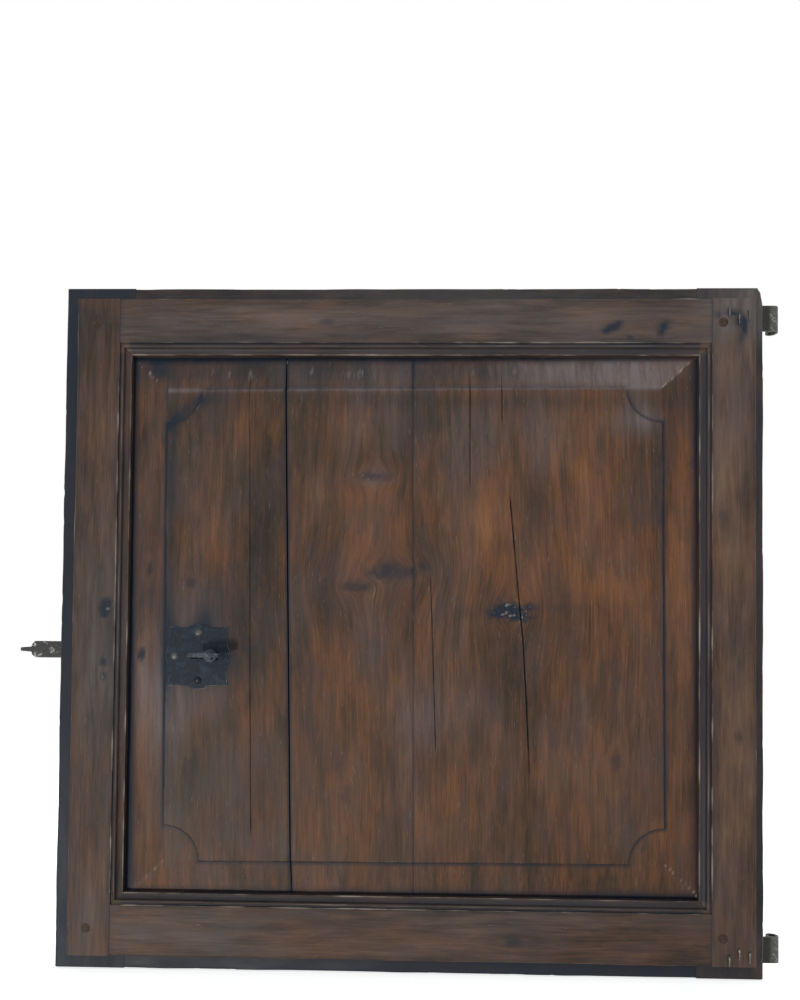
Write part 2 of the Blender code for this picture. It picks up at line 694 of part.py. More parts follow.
lock_rim = as_part(slab(
    "lock_rim", [rectangle(*CASE), rectangle(*inside)], depth(RIM_FRONT), depth(RIM_BACK), "Y"
), LOCK_IRON)
bolt_way = block(
    "bolt_way",
    (CASE[0] - OVER, depth(BOLT_FRONT - BOLT_CLEARANCE), BOLT_FOOT - BOLT_CLEARANCE),
    (CASE[0] + CASE_WALL + OVER, depth(BOLT_BACK + BOLT_CLEARANCE), BOLT_TOP + BOLT_CLEARANCE),
)
cut(bolt_way, lock_rim)
lock_cover = as_part(slab(
    "lock_cover", [rectangle(*CASE)], depth(COVER_FRONT), depth(COVER_BACK), "Y"
), LOCK_IRON)


def riveted_post(name, x, z, radius, tenon_radius, front):
    """A turned post behind the lock plate whose end is riveted over the cover."""
    head = COVER_BACK + GAP
    profile = [
        (0, head + RIVET_HEIGHT), (RIVET_RADIUS, head + RIVET_HEIGHT), (RIVET_RADIUS, head),
        (tenon_radius, head), (tenon_radius, RIM_BACK), (radius, RIM_BACK), (radius, front), (0, front),
    ]
    if radius == tenon_radius:
        profile = profile[:4] + profile[6:]
    as_part(turned(name, profile, (x, depth(0), z), "back", NAIL_SIDES * 2), LOCK_IRON)
    hole = drilled(f"{name}_hole", x, z, tenon_radius + GAP, RIM_BACK - GAP, head + OVER, NAIL_SIDES * 2)
    cut(hole, lock_cover)


post_inset = CASE_WALL + 2 * POST_RADIUS + GAP
for post_word, post_x, post_z in (
    ("lower", CASE[1] - post_inset, CASE[2] + post_inset),
    ("upper", CASE[0] + post_inset, CASE[3] - post_inset),
):
    riveted_post(f"cover_post_{post_word}", post_x, post_z, POST_RADIUS, POST_TENON_RADIUS, RIM_FRONT)
pin_radius = KEY_BORE_RADIUS - DRILL_PIN_CLEARANCE
riveted_post("drill_pin", KEY_X, KEY_Z, pin_radius, pin_radius, COVER_FRONT - DRILL_PIN_LENGTH)
ward_outer = WARD_RADIUS + WARD_WALL
ward = [(ward_outer, WARD_LENGTH), (ward_outer, 0), (WARD_RADIUS, 0), (WARD_RADIUS, WARD_LENGTH)]
ward_front = (KEY_X, depth(RIM_BACK - WARD_LENGTH), KEY_Z)
as_part(turned("ward_ring", ward, ward_front, "back", closed=True), LOCK_IRON)
for nail_word, nail_x, nail_wood in (
    ("stile", PLATE[0] + LOCK_NAIL_INSET, (lock_stile,)),
    ("panel", PLATE[1] - LOCK_NAIL_INSET, (packing, board_left)),
):
    for row_word, nail_z in (("upper", PLATE[3] - LOCK_NAIL_INSET), ("lower", PLATE[2] + LOCK_NAIL_INSET)):
        nail(
            f"lock_nail_{row_word}_{nail_word}", nail_x, nail_z, LOCK_BACK + GAP, LOCK_NAIL_LENGTH,
            "back", lock_plate, *nail_wood,
        )


# Bolt, keep, staple and spring

def bolt_outline():
    """The bolt thrown: a chamfered end with a narrow nose, a long bar, and a cranked tail with the talon."""
    shoulder = LEFT_EDGE - BOLT_OUT
    nose = shoulder - NOSE_LENGTH
    nose_z = (BOLT_TOP + BOLT_FOOT) / 2
    talon_roof = KEY_Z + BIT_RADIUS + TALON_CLEARANCE
    talon_left, talon_right = TALON_X - TALON_WIDTH / 2, TALON_X + TALON_WIDTH / 2
    crank = KEY_X - CRANK_BEFORE_KEY
    end = talon_right + TAIL_BEHIND_TALON
    return [
        (shoulder + BOLT_CHAMFER, BOLT_FOOT), (crank, BOLT_FOOT), (crank + BOLT_CRANK, TAIL_FOOT),
        (talon_left, TAIL_FOOT), (talon_left, talon_roof),
        (talon_right, talon_roof), (talon_right, TAIL_FOOT),
        (end, TAIL_FOOT), (end, TAIL_TOP), (crank + TAIL_TOP - BOLT_TOP, TAIL_TOP), (crank, BOLT_TOP),
        (shoulder + BOLT_CHAMFER, BOLT_TOP), (shoulder, BOLT_TOP - BOLT_CHAMFER),
        (shoulder, nose_z + NOSE_BASE / 2), (nose, nose_z + NOSE_TIP / 2),
        (nose, nose_z - NOSE_TIP / 2), (shoulder, nose_z - NOSE_BASE / 2),
        (shoulder, BOLT_FOOT + BOLT_CHAMFER),
    ]


def bridge(wall, foot):
    """(y, z) section of a strap that goes over the bolt, its legs reaching forward to foot."""
    low, high = BOLT_FOOT - BOLT_CLEARANCE, BOLT_TOP + BOLT_CLEARANCE
    under = depth(BOLT_BACK + BOLT_CLEARANCE)
    back = under + wall
    return [
        (depth(foot), low - wall), (back, low - wall), (back, high + wall), (depth(foot), high + wall),
        (depth(foot), high), (under, high), (under, low), (depth(foot), low),
    ]


as_part(slab("lock_bolt", [bolt_outline()], depth(BOLT_FRONT), depth(BOLT_BACK), "Y"), IRON)
keep_left = CASE[0] + CASE_WALL + KEEP_INSET
as_part(slab("bolt_keep", [bridge(KEEP_WALL, RIM_FRONT)], keep_left, keep_left + KEEP_WIDTH, "X"), LOCK_IRON)
staple_left = LEFT_EDGE + STAPLE_INSET
staple_foot = THICKNESS - STAPLE_GRIP
as_part(slab(
    "bolt_staple", [bridge(STAPLE_WALL, staple_foot)], staple_left, staple_left + STAPLE_WIDTH, "X"
), IRON)
for leg_word, leg_low in (
    ("upper", BOLT_TOP + BOLT_CLEARANCE), ("lower", BOLT_FOOT - BOLT_CLEARANCE - STAPLE_WALL),
):
    leg_hole = block(
        f"staple_{leg_word}_hole",
        (staple_left - GAP, depth(staple_foot - GAP), leg_low - GAP),
        (staple_left + STAPLE_WIDTH + GAP, depth(THICKNESS + OVER), leg_low + STAPLE_WALL + GAP),
    )
    cut(leg_hole, lock_stile)


def spring_outline():
    """A bowed leaf spring: a foot on the case's lower wall, and a bow that bears on the bolt from below."""
    touch_x, touch_z = KEY_X - SPRING_TOUCH, BOLT_FOOT - GAP
    floor = CASE[2] + CASE_WALL + GAP + SPRING_THICKNESS
    bow = (touch_z - floor) / SPRING_REACH ** 2
    steps = [-SPRING_CURL + (SPRING_REACH + SPRING_CURL) * i / 14 for i in range(15)]
    upper = [(touch_x + s, touch_z - bow * s * s) for s in steps]
    lower = []
    for (x, z), s in zip(upper, steps):
        slope = 2 * bow * s
        length = math.hypot(1, slope)
        lower.append((x - slope * SPRING_THICKNESS / length, z - SPRING_THICKNESS / length))
    foot_end = upper[-1][0] + SPRING_FOOT
    lower[-1] = (lower[-1][0], floor - SPRING_THICKNESS)
    return upper + [(foot_end, floor), (foot_end, floor - SPRING_THICKNESS)] + lower[::-1]


spring_front = depth((BOLT_FRONT + BOLT_BACK - SPRING_WIDTH) / 2)
as_part(slab("bolt_spring", [spring_outline()], spring_front, spring_front + SPRING_WIDTH, "Y"), LOCK_IRON)


# Keyhole plate on the field, and its nails

PLATE_X = KEY_X + PLATE_OFFSET_X
PLATE_Z = KEY_Z + PLATE_OFFSET_Z


def keyhole_plate_outline():
    """Four broad lobes between four short pointed ears."""
    lobe_centre = LOBE_REACH - LOBE_RADIUS
    spread = math.degrees(LOBE_SPREAD)
    lobe = arc((lobe_centre, 0), LOBE_RADIUS, -spread, spread, 10)
    ear = (EAR_REACH, EAR_REACH)
    side = lobe + bend(lobe[-1], (EAR_PULL_OUT, EAR_PULL_IN), ear, 6) + [ear]
    next_lobe = (-lobe[0][1], lobe[0][0])
    side += bend(ear, (EAR_PULL_IN, EAR_PULL_OUT), next_lobe, 6)
    points = []
    for turn in range(4):
        cos, sin = round(math.cos(turn * math.pi / 2)), round(math.sin(turn * math.pi / 2))
        points += [(PLATE_X + x * cos - z * sin, PLATE_Z + x * sin + z * cos) for x, z in side]
    return points


plate_back = PANEL_SINK - GAP
plate_front = plate_back - KEYHOLE_PLATE
keyhole_plate = as_part(slab(
    "keyhole_plate", [keyhole_plate_outline(), keyhole(KEYHOLE_CLEARANCE)],
    depth(plate_front), depth(plate_back), "Y",
), IRON)
for word, step_x, step_z in (("left", -1, 0), ("right", 1, 0), ("top", 0, 1), ("foot", 0, -1)):
    nail(
        f"keyhole_plate_nail_{word}",
        PLATE_X + step_x * PLATE_NAIL_CIRCLE, PLATE_Z + step_z * PLATE_NAIL_CIRCLE,
        plate_front - GAP, KEYHOLE_PLATE_NAIL_LENGTH, "front", keyhole_plate, board_left,
    )


# Key, at rest with its bow level and its bit to the left

BIT_FRONT = LOCK_BACK + KEYHOLE_CLEARANCE
BIT_BACK = BIT_FRONT + BIT_WIDTH
COLLAR_BACK = plate_front - KEYHOLE_CLEARANCE - NAIL_HEAD_HEIGHT
COLLAR_FRONT = COLLAR_BACK - COLLAR_LENGTH
BOW_BACK = COLLAR_FRONT - BOW_STANDOFF
BOW_MIDDLE = BOW_BACK - BOW_LENGTH / 2


def key():
    stem_front = BOW_BACK - BOW_BAR / 2
    profile = [
        (0, -stem_front), (KEY_STEM_RADIUS, -stem_front), (KEY_STEM_RADIUS, -COLLAR_FRONT),
        (COLLAR_RADIUS, -COLLAR_FRONT), (COLLAR_RADIUS, -COLLAR_BACK), (KEY_STEM_RADIUS, -COLLAR_BACK),
        (KEY_STEM_RADIUS, -BIT_BACK), (KEY_BORE_RADIUS, -BIT_BACK),
        (KEY_BORE_RADIUS, -BIT_BACK + KEY_BORE_DEPTH), (0, -BIT_BACK + KEY_BORE_DEPTH),
    ]
    obj = as_part(turned("key", profile, (KEY_X, depth(0), KEY_Z), "front"), IRON)
    rings = []
    for inset in (0, BOW_BAR):
        half_x, half_y = BOW_WIDTH / 2 - inset, BOW_LENGTH / 2 - inset
        turns = [2 * math.pi * i / 32 for i in range(32)]
        middle_y = depth(BOW_MIDDLE)
        rings.append([(KEY_X + half_x * math.cos(t), middle_y + half_y * math.sin(t)) for t in turns])
    join(obj, slab("key_bow", rings, KEY_Z - BOW_THICKNESS / 2, KEY_Z + BOW_THICKNESS / 2, "Z"))
    bit = block(
        "key_bit",
        (KEY_X - BIT_RADIUS, depth(BIT_FRONT), KEY_Z - BIT_THICKNESS / 2),
        (KEY_X - (KEY_STEM_RADIUS + KEY_BORE_RADIUS) / 2, depth(BIT_BACK), KEY_Z + BIT_THICKNESS / 2),
    )
    join(obj, bit)
    ward_room = 2 * GAP
    slit = block(
        "key_slit",
        (KEY_X - ward_outer - ward_room, depth(BIT_BACK - BIT_SLIT_DEPTH), KEY_Z - BIT_THICKNESS),
        (KEY_X - WARD_RADIUS + ward_room, depth(BIT_BACK + OVER), KEY_Z + BIT_THICKNESS),
    )
    cut(slit, obj)
    return obj


key()
for piece in PARTS.objects:
    if piece.type == "MESH":
        piece.data.set_sharp_from_angle(angle=math.radians(35))
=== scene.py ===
# %% [markdown]
# # A panelled pine door, dressed for the camera
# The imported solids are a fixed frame: every piece made here sits where a solid already is. The wood is
# remade with a fine mesh, because an old door shows its age in its shape: rounded arrises, open joints,
# cracks and a broken corner. The ironwork keeps its solids' shapes with eased edges.

# %% The frame
import bpy
import math
import numpy as np
from mathutils import Matrix, Vector


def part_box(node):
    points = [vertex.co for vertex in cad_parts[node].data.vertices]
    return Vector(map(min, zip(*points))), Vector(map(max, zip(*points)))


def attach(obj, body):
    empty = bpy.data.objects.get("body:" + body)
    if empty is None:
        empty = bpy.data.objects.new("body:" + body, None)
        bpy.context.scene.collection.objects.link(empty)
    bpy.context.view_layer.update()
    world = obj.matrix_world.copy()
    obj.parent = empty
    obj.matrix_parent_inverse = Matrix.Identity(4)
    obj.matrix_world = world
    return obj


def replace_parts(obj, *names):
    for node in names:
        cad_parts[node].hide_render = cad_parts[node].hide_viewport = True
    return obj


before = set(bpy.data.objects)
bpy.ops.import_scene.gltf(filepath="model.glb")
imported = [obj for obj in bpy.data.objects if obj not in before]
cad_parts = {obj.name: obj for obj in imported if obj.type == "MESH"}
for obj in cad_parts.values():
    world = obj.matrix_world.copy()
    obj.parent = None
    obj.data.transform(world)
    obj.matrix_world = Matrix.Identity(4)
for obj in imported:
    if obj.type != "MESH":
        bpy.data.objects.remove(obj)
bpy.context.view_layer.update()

MM = 0.001
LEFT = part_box("lock_stile")[0][0]
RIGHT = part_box("hinge_stile")[1][0]
FOOT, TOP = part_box("lock_stile")[0][2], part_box("lock_stile")[1][2]
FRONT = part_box("lock_stile")[0][1]
print("leaf", round((RIGHT - LEFT) / MM, 1), "x", round((TOP - FOOT) / MM, 1), "mm")

# %% [markdown]
# ## The camera
# The photograph was taken from less than a metre in front of the lock, nearly square to the door. The
# three turns and the distance were fitted to the straight edges of the frame. The lens looks at the height
# of the key, and the key's bow is seen edge on for that reason. The shift moves the picture up to take in
# the top of the door without tilting the lens.

# %% The camera
PITCH, YAW, ROLL = math.radians(1.2308), math.radians(1.2200), math.radians(-0.5681)
LENS_MM, SENSOR_MM, SHIFT_UP = 26.496, 36, 0.156
STAND = (-0.4221, -0.8817, 0.3355)


def new_object(name, data):
    """An object with this data, in the scene."""
    made = bpy.data.objects.new(name, data)
    bpy.context.scene.collection.objects.link(made)
    return made


lens = bpy.data.cameras.new("camera")
camera = new_object("camera", lens)
bpy.context.scene.camera = camera
lens.lens = LENS_MM
lens.sensor_width = SENSOR_MM
lens.sensor_fit = "AUTO"
lens.shift_y = SHIFT_UP
facing = Matrix.Rotation(YAW, 4, "Z") @ Matrix.Rotation(PITCH, 4, "X") @ Matrix.Rotation(ROLL, 4, "Y")
camera.matrix_world = Matrix.Translation(STAND) @ facing @ Matrix.Rotation(math.pi / 2, 4, "X")
print("camera at", STAND)

# %% [markdown]
# ## Light
# In the photograph the key throws its shadow up and to the right, so the main light is low and to the
# left. A second, paler light from above gives the bevel under the top rail its sheen, and one behind keeps
# the back of the door readable.

# %% Light
def soft_light(name, place, target, size, power, colour):
    """A rectangular studio light that faces a point on the door."""
    lamp = bpy.data.lights.new(name, "AREA")
    lamp.shape = "RECTANGLE"
    lamp.size, lamp.size_y = size
    lamp.energy = power
    lamp.color = colour
    holder = new_object(name, lamp)
    holder.location = place
    holder.rotation_euler = (Vector(target) - Vector(place)).to_track_quat("-Z", "Y").to_euler()


MIDDLE = ((LEFT + RIGHT) / 2, FRONT, (FOOT + TOP) / 2)
soft_light("high_light", (-0.30, -2.3, 1.95), (-0.42, FRONT, 0.55), (2.2, 0.8), 15, (0.88, 0.94, 1.0))
soft_light("back_light", (-0.9, 1.9, 1.3), MIDDLE, (1.6, 1.6), 30, (1.0, 1.0, 1.0))
sun = bpy.data.lights.new("low_left_light", "SUN")
sun.energy = 1.9
sun.angle = math.radians(9)
sun.color = (1.0, 0.96, 0.91)
low_left = new_object("low_left_light", sun)
low_left.rotation_euler = Vector((0.36, 1.0, 0.41)).to_track_quat("-Z", "Y").to_euler()
bpy.context.scene.view_settings.view_transform = "Standard"
print("lights", len(bpy.data.lights))

# %% [markdown]
# ## Background and floor
# The photograph is a cut-out on white. Rays from the camera and reflections see the background as white,
# while the soft light on the door stays lower, and the floor is a matt paper that takes a soft shadow. The
# first helper below is the only one that adds shader nodes. Colours are written as the hex values one would
# pick from a screen, and one function turns them into the linear values that shaders work in.

# %% Background and floor
def add_node(tree, kind, label, inputs, out=0, **settings):
    """Adds one node, sets or links its inputs by name or number, and hands back one of its outputs."""
    node = tree.nodes.new("ShaderNode" + kind)
    node.label = label
    for key, value in settings.items():
        setattr(node, key, value)
    for key, value in inputs.items():
        if isinstance(value, bpy.types.NodeSocket):
            tree.links.new(value, node.inputs[key])
        else:
            node.inputs[key].default_value = value
    return node.outputs[out]


def from_hex(code):
    """A screen colour such as 55463f as linear values."""
    parts = [int(code[i:i + 2], 16) / 255 for i in (0, 2, 4)]
    return tuple(p / 12.92 if p <= 0.04045 else ((p + 0.055) / 1.055) ** 2.4 for p in parts) + (1.0,)


def new_material(name):
    """An empty material with its node tree and its shader."""
    made = bpy.data.materials.new(name)
    made.use_nodes = True
    return made, made.node_tree, made.node_tree.nodes["Principled BSDF"]


def seen_rays(tree):
    """1 for rays from the camera, in a reflection or through glass, which see the background as white."""
    seen = add_node(tree, "LightPath", "by the camera", {}, "Is Camera Ray")
    for way in ("Is Glossy Ray", "Is Transmission Ray"):
        ray = add_node(tree, "LightPath", way, {}, way)
        seen = add_node(tree, "Math", "either", {0: seen, 1: ray}, operation="MAXIMUM")
    return seen


ROOM_LIGHT, PAPER_LIFT = 0.36, 0.75
world = bpy.data.worlds.new("studio")
bpy.context.scene.world = world
world.use_nodes = True
sky = world.node_tree
sky.nodes.clear()
soft, full = {"Color": (0.94, 0.97, 1.0, 1.0), "Strength": ROOM_LIGHT}, {"Color": (1.0, 1.0, 1.0, 1.0)}
ambient = add_node(sky, "Background", "soft room light", soft)
white = add_node(sky, "Background", "white paper", full)
either = add_node(sky, "MixShader", "light or paper", {0: seen_rays(sky), 1: ambient, 2: white})
sky.links.new(either, sky.nodes.new("ShaderNodeOutputWorld").inputs["Surface"])

bpy.ops.mesh.primitive_plane_add(size=12, location=(MIDDLE[0], 1.5, FOOT - 0.002))
floor = bpy.context.object
floor.name = "studio_floor"
floor.visible_shadow = False
# matt white paper: pale and without sheen, lifted to the background's white where the camera sees it
paper, paper_tree, paper_shader = new_material("matt_white_paper")
paper_shader.inputs["Base Color"].default_value = from_hex("e9e9e7")
paper_shader.inputs["Roughness"].default_value = 0.9
paper_shader.inputs["Emission Color"].default_value = (1.0, 1.0, 1.0, 1.0)
lifted = {0: seen_rays(paper_tree), 1: PAPER_LIFT}
lift = add_node(paper_tree, "Math", "lift", lifted, operation="MULTIPLY")
paper_tree.links.new(lift, paper_shader.inputs["Emission Strength"])
floor.data.materials.append(paper)

# %% [markdown]
# ## Stained pine
# The wood is old pine, stained dark and waxed many times. What the eye sees is a low contrast brown with
# thin darker lines along the grain, warmer patches where the stain has worn through, a purple grey where
# the wax has gone dull, blue-black grime in every recess, with painted shade added where the panel runs
# in under the frame, and pale bare wood on the arrises, with painted highlights on arrises and knots. The
# grain follows an attribute of the mesh that bends round the knots. Grime with painted shade, bare wood
# with painted highlights, lightness and dull wax with a painted sheen are painted on the mesh as two more
# attributes, so each can sit where it sits on the real door.

# %% Stained pine
# size across and along the grain in millimetres, detail, and how far it moves the lightness
PINE_NOISES = {
    "fibres": (2.0, 48, 3, 0.52), "rings": (5.5, 300, 3, 0.16), "streaks": (8, 85, 5, 0.58),
    "blotches": (30, 85, 5, 0.48), "hue": (26, 60, 5, 0.0), "warmth": (18, 62, 5, 0.0),
    "flecks": (1.3, 17, 2, 0.0),
}
# a patch, the noise that places it, where it begins and is full, and its share there
PINE_PATCHES = (
    ("purple stain", "hue", 0.42, 0.66, 0.4), ("orange stain", "warmth", 0.52, 0.74, 0.55),
    ("olive wax", "warmth", 0.48, 0.28, 0.6), ("dark pores", "flecks", 0.36, 0.26, 0.5),
    ("pale chips", "flecks", 0.67, 0.78, 0.45),
)
# a painted mark, the noise that breaks it up, by how much, and whether that is held to 0 to 1 beforehand
PINE_MARKS = (
    ("dull wax and sheen", "streaks", 2.4, -0.5, True), ("grime_and_shade", "streaks", 1.0, 0.5, False),
    ("bare wood and highlight", "fibres", 1.6, 0.1, False),
)
WOOD_SHEEN = 0.15


def stained_pine(name, tones, grey, roughness):
    """Old waxed pine. The grain attribute holds (across, depth, along) in metres."""
    made, tree, shader = new_material(name)
    grain = add_node(tree, "Attribute", "grain", {}, "Vector", attribute_name="grain")
    marks = add_node(tree, "Attribute", "marks", {}, "Vector", attribute_name="marks")
    painted = {"dull wax and sheen": add_node(tree, "Attribute", "dull_and_sheen", {}, "Fac", attribute_name="dull_and_sheen")}
    for number, word in enumerate(("grime_and_shade", "bare wood and highlight", "lightness")):
        painted[word] = add_node(tree, "SeparateXYZ", word, {0: marks}, number)
    lightness, noise, share = painted["lightness"], {}, {}
    for word, (across, along, detail, strength) in PINE_NOISES.items():
        scale = (1 / (across * MM), 1 / (across * MM * 2), 1 / (along * MM))
        sized = add_node(tree, "Mapping", word, {"Vector": grain, "Scale": scale})
        wanted = {"Vector": sized, "Scale": 1.0, "Detail": detail, "Roughness": 0.6}
        noise[word] = add_node(tree, "TexNoise", word, wanted)
        moved = {0: noise[word], 1: strength, 2: -strength / 2}
        shift = add_node(tree, "Math", word, moved, operation="MULTIPLY_ADD")
        lightness = add_node(tree, "Math", "lightness", {0: lightness, 1: shift}, operation="ADD")
    stain = tree.nodes.new("ShaderNodeValToRGB")
    while len(stain.color_ramp.elements) < len(tones):
        stain.color_ramp.elements.new(0.5)
    for element, (position, code) in zip(stain.color_ramp.elements, tones):
        element.position = position
        element.color = from_hex(code)
    tree.links.new(lightness, stain.inputs[0])
    colour = stain.outputs[0]
    for word, source, low, high, most in PINE_PATCHES:
        share[word] = add_node(tree, "MapRange", word, {0: noise[source], 1: low, 2: high, 4: most})
    for word, source, times, plus, held in PINE_MARKS:
        broken = {0: noise[source], 1: times, 2: plus}
        broken = add_node(tree, "Math", word, broken, operation="MULTIPLY_ADD", use_clamp=held)
        marked = {0: broken, 1: painted[word]}
        share[word] = add_node(tree, "Math", word, marked, operation="MULTIPLY", use_clamp=not held)
    # bare wood and painted highlights are broken into flecks
    rubbed = {0: share["bare wood and highlight"], 1: 0.2, 2: 0.9}
    share["bare wood and highlight"] = add_node(tree, "MapRange", "bare and highlight flecks", rubbed)
    # grime and painted shade mix to blue-black, bare wood and painted highlights to pale, dull wax and
    # painted sheen to grey
    for word, code in (
        ("orange stain", tones[3][1]), ("olive wax", "41382c"), ("purple stain", "43383a"),
        ("dull wax and sheen", grey), ("dark pores", "1a1512"), ("pale chips", "857a6e"), ("grime_and_shade", "18202b"),
        ("bare wood and highlight", "8b8278"),
    ):
        mixed = {0: share[word], 6: colour, 7: from_hex(code)}
        colour = add_node(tree, "Mix", word, mixed, 2, data_type="RGBA")
    tree.links.new(colour, shader.inputs["Base Color"])
    worn = {0: noise["blotches"], 1: 0.3, 2: 0.7, 3: roughness - 0.07, 4: roughness + 0.1}
    tree.links.new(add_node(tree, "MapRange", "sheen", worn), shader.inputs["Roughness"])
    shader.inputs["Specular IOR Level"].default_value = WOOD_SHEEN
    raised = {0: noise["rings"], 1: 0.8, 2: noise["fibres"]}
    relief = add_node(tree, "Math", "relief", raised, operation="MULTIPLY_ADD")
    bumps = {"Strength": 0.5, "Distance": 0.25 * MM, "Height": relief}
    tree.links.new(add_node(tree, "Bump", "grain relief", bumps), shader.inputs["Normal"])
    return made


FRAME_TONES = ((0.10, "161311"), (0.36, "2c231c"), (0.52, "463328"), (0.70, "5e4635"), (0.95, "755d4a"))
PANEL_TONES = ((0.10, "1c1610"), (0.36, "33271b"), (0.52, "493224"), (0.70, "63422b"), (0.95, "7b553b"))
# stained pine of the frame: greyer, rubbed by hands; stained pine of the panel: warmer, more even
FRAME_PINE = stained_pine("stained_pine_frame", FRAME_TONES, "5a5453", 0.5)
PANEL_PINE = stained_pine("stained_pine_panel", PANEL_TONES, "686263", 0.46)
print("pine", FRAME_PINE.name, PANEL_PINE.name)

# %% [markdown]
# ## Noise for shaping wood
# Wear is uneven, so each worn arris and each flat gets a slow, smooth noise. It is a lattice of fixed
# random numbers with smooth steps between them, and a seed makes each run give the same door.

# %% Smooth noise
TABLE = 4096
PRIMES = np.array([7919, 104729, 1299709])


def smooth_noise(points, cell, seed):
    """Noise from -1 to 1 at points of any dimension, with cell giving the size of a lump along each."""
    table = np.random.default_rng(seed).random(TABLE)
    scaled = np.atleast_2d(np.asarray(points, float).T).T / np.asarray(cell, float)
    corner = np.floor(scaled).astype(np.int64)
    part = scaled - corner
    part = part * part * (3 - 2 * part)
    total = np.zeros(len(scaled))
    size = scaled.shape[1]
    for number in range(2 ** size):
        bits = np.array([(number >> k) & 1 for k in range(size)])
        weight = np.prod(np.where(bits, part, 1 - part), axis=1)
        cells = ((corner + bits) * PRIMES[:size]).sum(axis=1)
        total += weight * table[cells % TABLE]
    return total * 2 - 1


def rough_noise(points, cell, seed):
    """Three layers of smooth noise, each half the size and strength of the one before."""
    cell = np.asarray(cell, float)
    return sum(smooth_noise(points, cell / 2 ** k, seed + k) / 2 ** k for k in range(3)) / 1.75


def uneven(flat, across, along, seed):
    """Rough noise over a flat, with the size of its lumps in millimetres."""
    return rough_noise(flat, (across * MM, along * MM), seed)


def near(distance, width):
    """1 at no distance, falling smoothly to 0 a few widths away."""
    return np.exp(-(np.asarray(distance) / width) ** 2)


print("noise at 0", round(float(smooth_noise(np.array([0.0]), (1.0,), 1)[0]), 3))

# %% [markdown]
# ## Stiles and rails
# A joiner planes each member to one section and works the moulding along its inner edge: a quirk, a bead,
# a hollow and a fillet. The section is drawn once as a ring of points, filled, and extruded to the
# member's length, and its long edges are then subdivided so that every arris can wear by a different
# amount along its length. A grid that follows the section keeps the mouldings crisp with few faces.

# %% The section of a member
LIP_DEPTH, THICK, MOULD = 12 * MM, 28 * MM, 13 * MM
LIP_LOCK, LIP_HINGE, LIP_ENDS = 18.5 * MM, 13 * MM, 18 * MM
LOCK_WIDE, HINGE_WIDE, TOP_WIDE, FOOT_WIDE = 63.5 * MM, 63.8 * MM, 65 * MM, 72 * MM
INNER_LEFT, INNER_RIGHT = LEFT + LIP_LOCK + LOCK_WIDE, RIGHT - LIP_HINGE - HINGE_WIDE
INNER_TOP, INNER_FOOT = TOP - LIP_ENDS - TOP_WIDE, FOOT + LIP_ENDS + FOOT_WIDE


def moulding():
    """(distance from the inner edge, depth) of the moulding, from the flat face inwards, in metres."""
    points = [(13.0, 0.0), (12.9, 1.0), (12.6, 1.8), (11.75, 1.8)]
    for i in range(7):
        turn = math.radians(25 + 155 * i / 6)
        points.append((9.7 + 2.1 * math.cos(turn), 2.7 - 2.1 * math.sin(turn)))
    for i in range(1, 6):
        turn = math.radians(90 * i / 5)
        points.append((2.2 + 5.4 * math.cos(turn), 2.7 + 2.3 * math.sin(turn)))
    return [(t * MM, d * MM) for t, d in points + [(2.2, 4.3), (1.1, 4.3), (0.0, 4.3)]]


def section_ring(lip, wide):
    """(distance from the outer edge, depth) round a member, with points close together at each arris."""
    inner = lip + wide
    corners = [(0, LIP_DEPTH), (lip, LIP_DEPTH), (lip, 0)] + [(inner - t, d) for t, d in moulding()]
    corners += [(inner, THICK), (0, THICK)]
    ring = []
    for start, end in zip(corners, corners[1:] + corners[:1]):
        length = math.dist(start, end)
        ring.append(start)
        if length > 6 * MM:
            count = max(1, round((length - 8 * MM) / (4 * MM)))
            stops = [0.8 * MM, 2.2 * MM]
            stops += [4 * MM + (length - 8 * MM) * i / count for i in range(count + 1)]
            stops += [length - 2.2 * MM, length - 0.8 * MM]
            ring += [tuple(np.add(start, np.subtract(end, start) * s / length)) for s in stops]
    return np.array(ring)


def arrises(lip, wide):
    """Each outward corner of a member: its place, the way it wears, and how far it wears at most."""
    inner = lip + wide
    return (
        ((0, LIP_DEPTH), (1, 1), 1.6 * MM), ((lip, 0), (1, 1), 2.2 * MM),
        ((inner - MOULD, 0), (-1, 1), 0.7 * MM), ((inner, 4.3 * MM), (-1, 1), 0.9 * MM),
        ((inner, THICK), (-1, -1), 1.2 * MM), ((0, THICK), (1, -1), 1.6 * MM),
    )


print("section points", len(section_ring(LIP_LOCK, LOCK_WIDE)))

# %% [markdown]
# A member is made in its own (across, depth, along) terms and then put in the door's. Wear pulls each
# arris into the wood by a noise that changes along the length, and a slow swell of a fifth of a
# millimetre makes the planed faces catch the light unevenly, as hand planed faces do.

# %% A worn member
RAIL_INSET, ARRIS_REACH, ALONG_CUTS = 20 * MM, 2.6 * MM, (66, 2)
OUTWARDS = (bpy.ops.mesh.normals_make_consistent, {"inside": False})


def fill_ring(name, points):
    """A filled ring drawn through points, as a new object whose mesh is in place."""
    bpy.ops.mesh.primitive_circle_add(vertices=len(points), radius=1, fill_type="NGON")
    piece = bpy.context.object
    piece.name = piece.data.name = name
    for vert, place in zip(piece.data.vertices, points):
        vert.co = place
    return piece


def work_on_mesh(*steps):
    """Runs mesh operators, each given with its settings, on the whole of the active piece."""
    bpy.ops.object.mode_set(mode="EDIT")
    for step, settings in steps:
        bpy.ops.mesh.select_all(action="SELECT")
        step(**settings)
    bpy.ops.object.mode_set(mode="OBJECT")


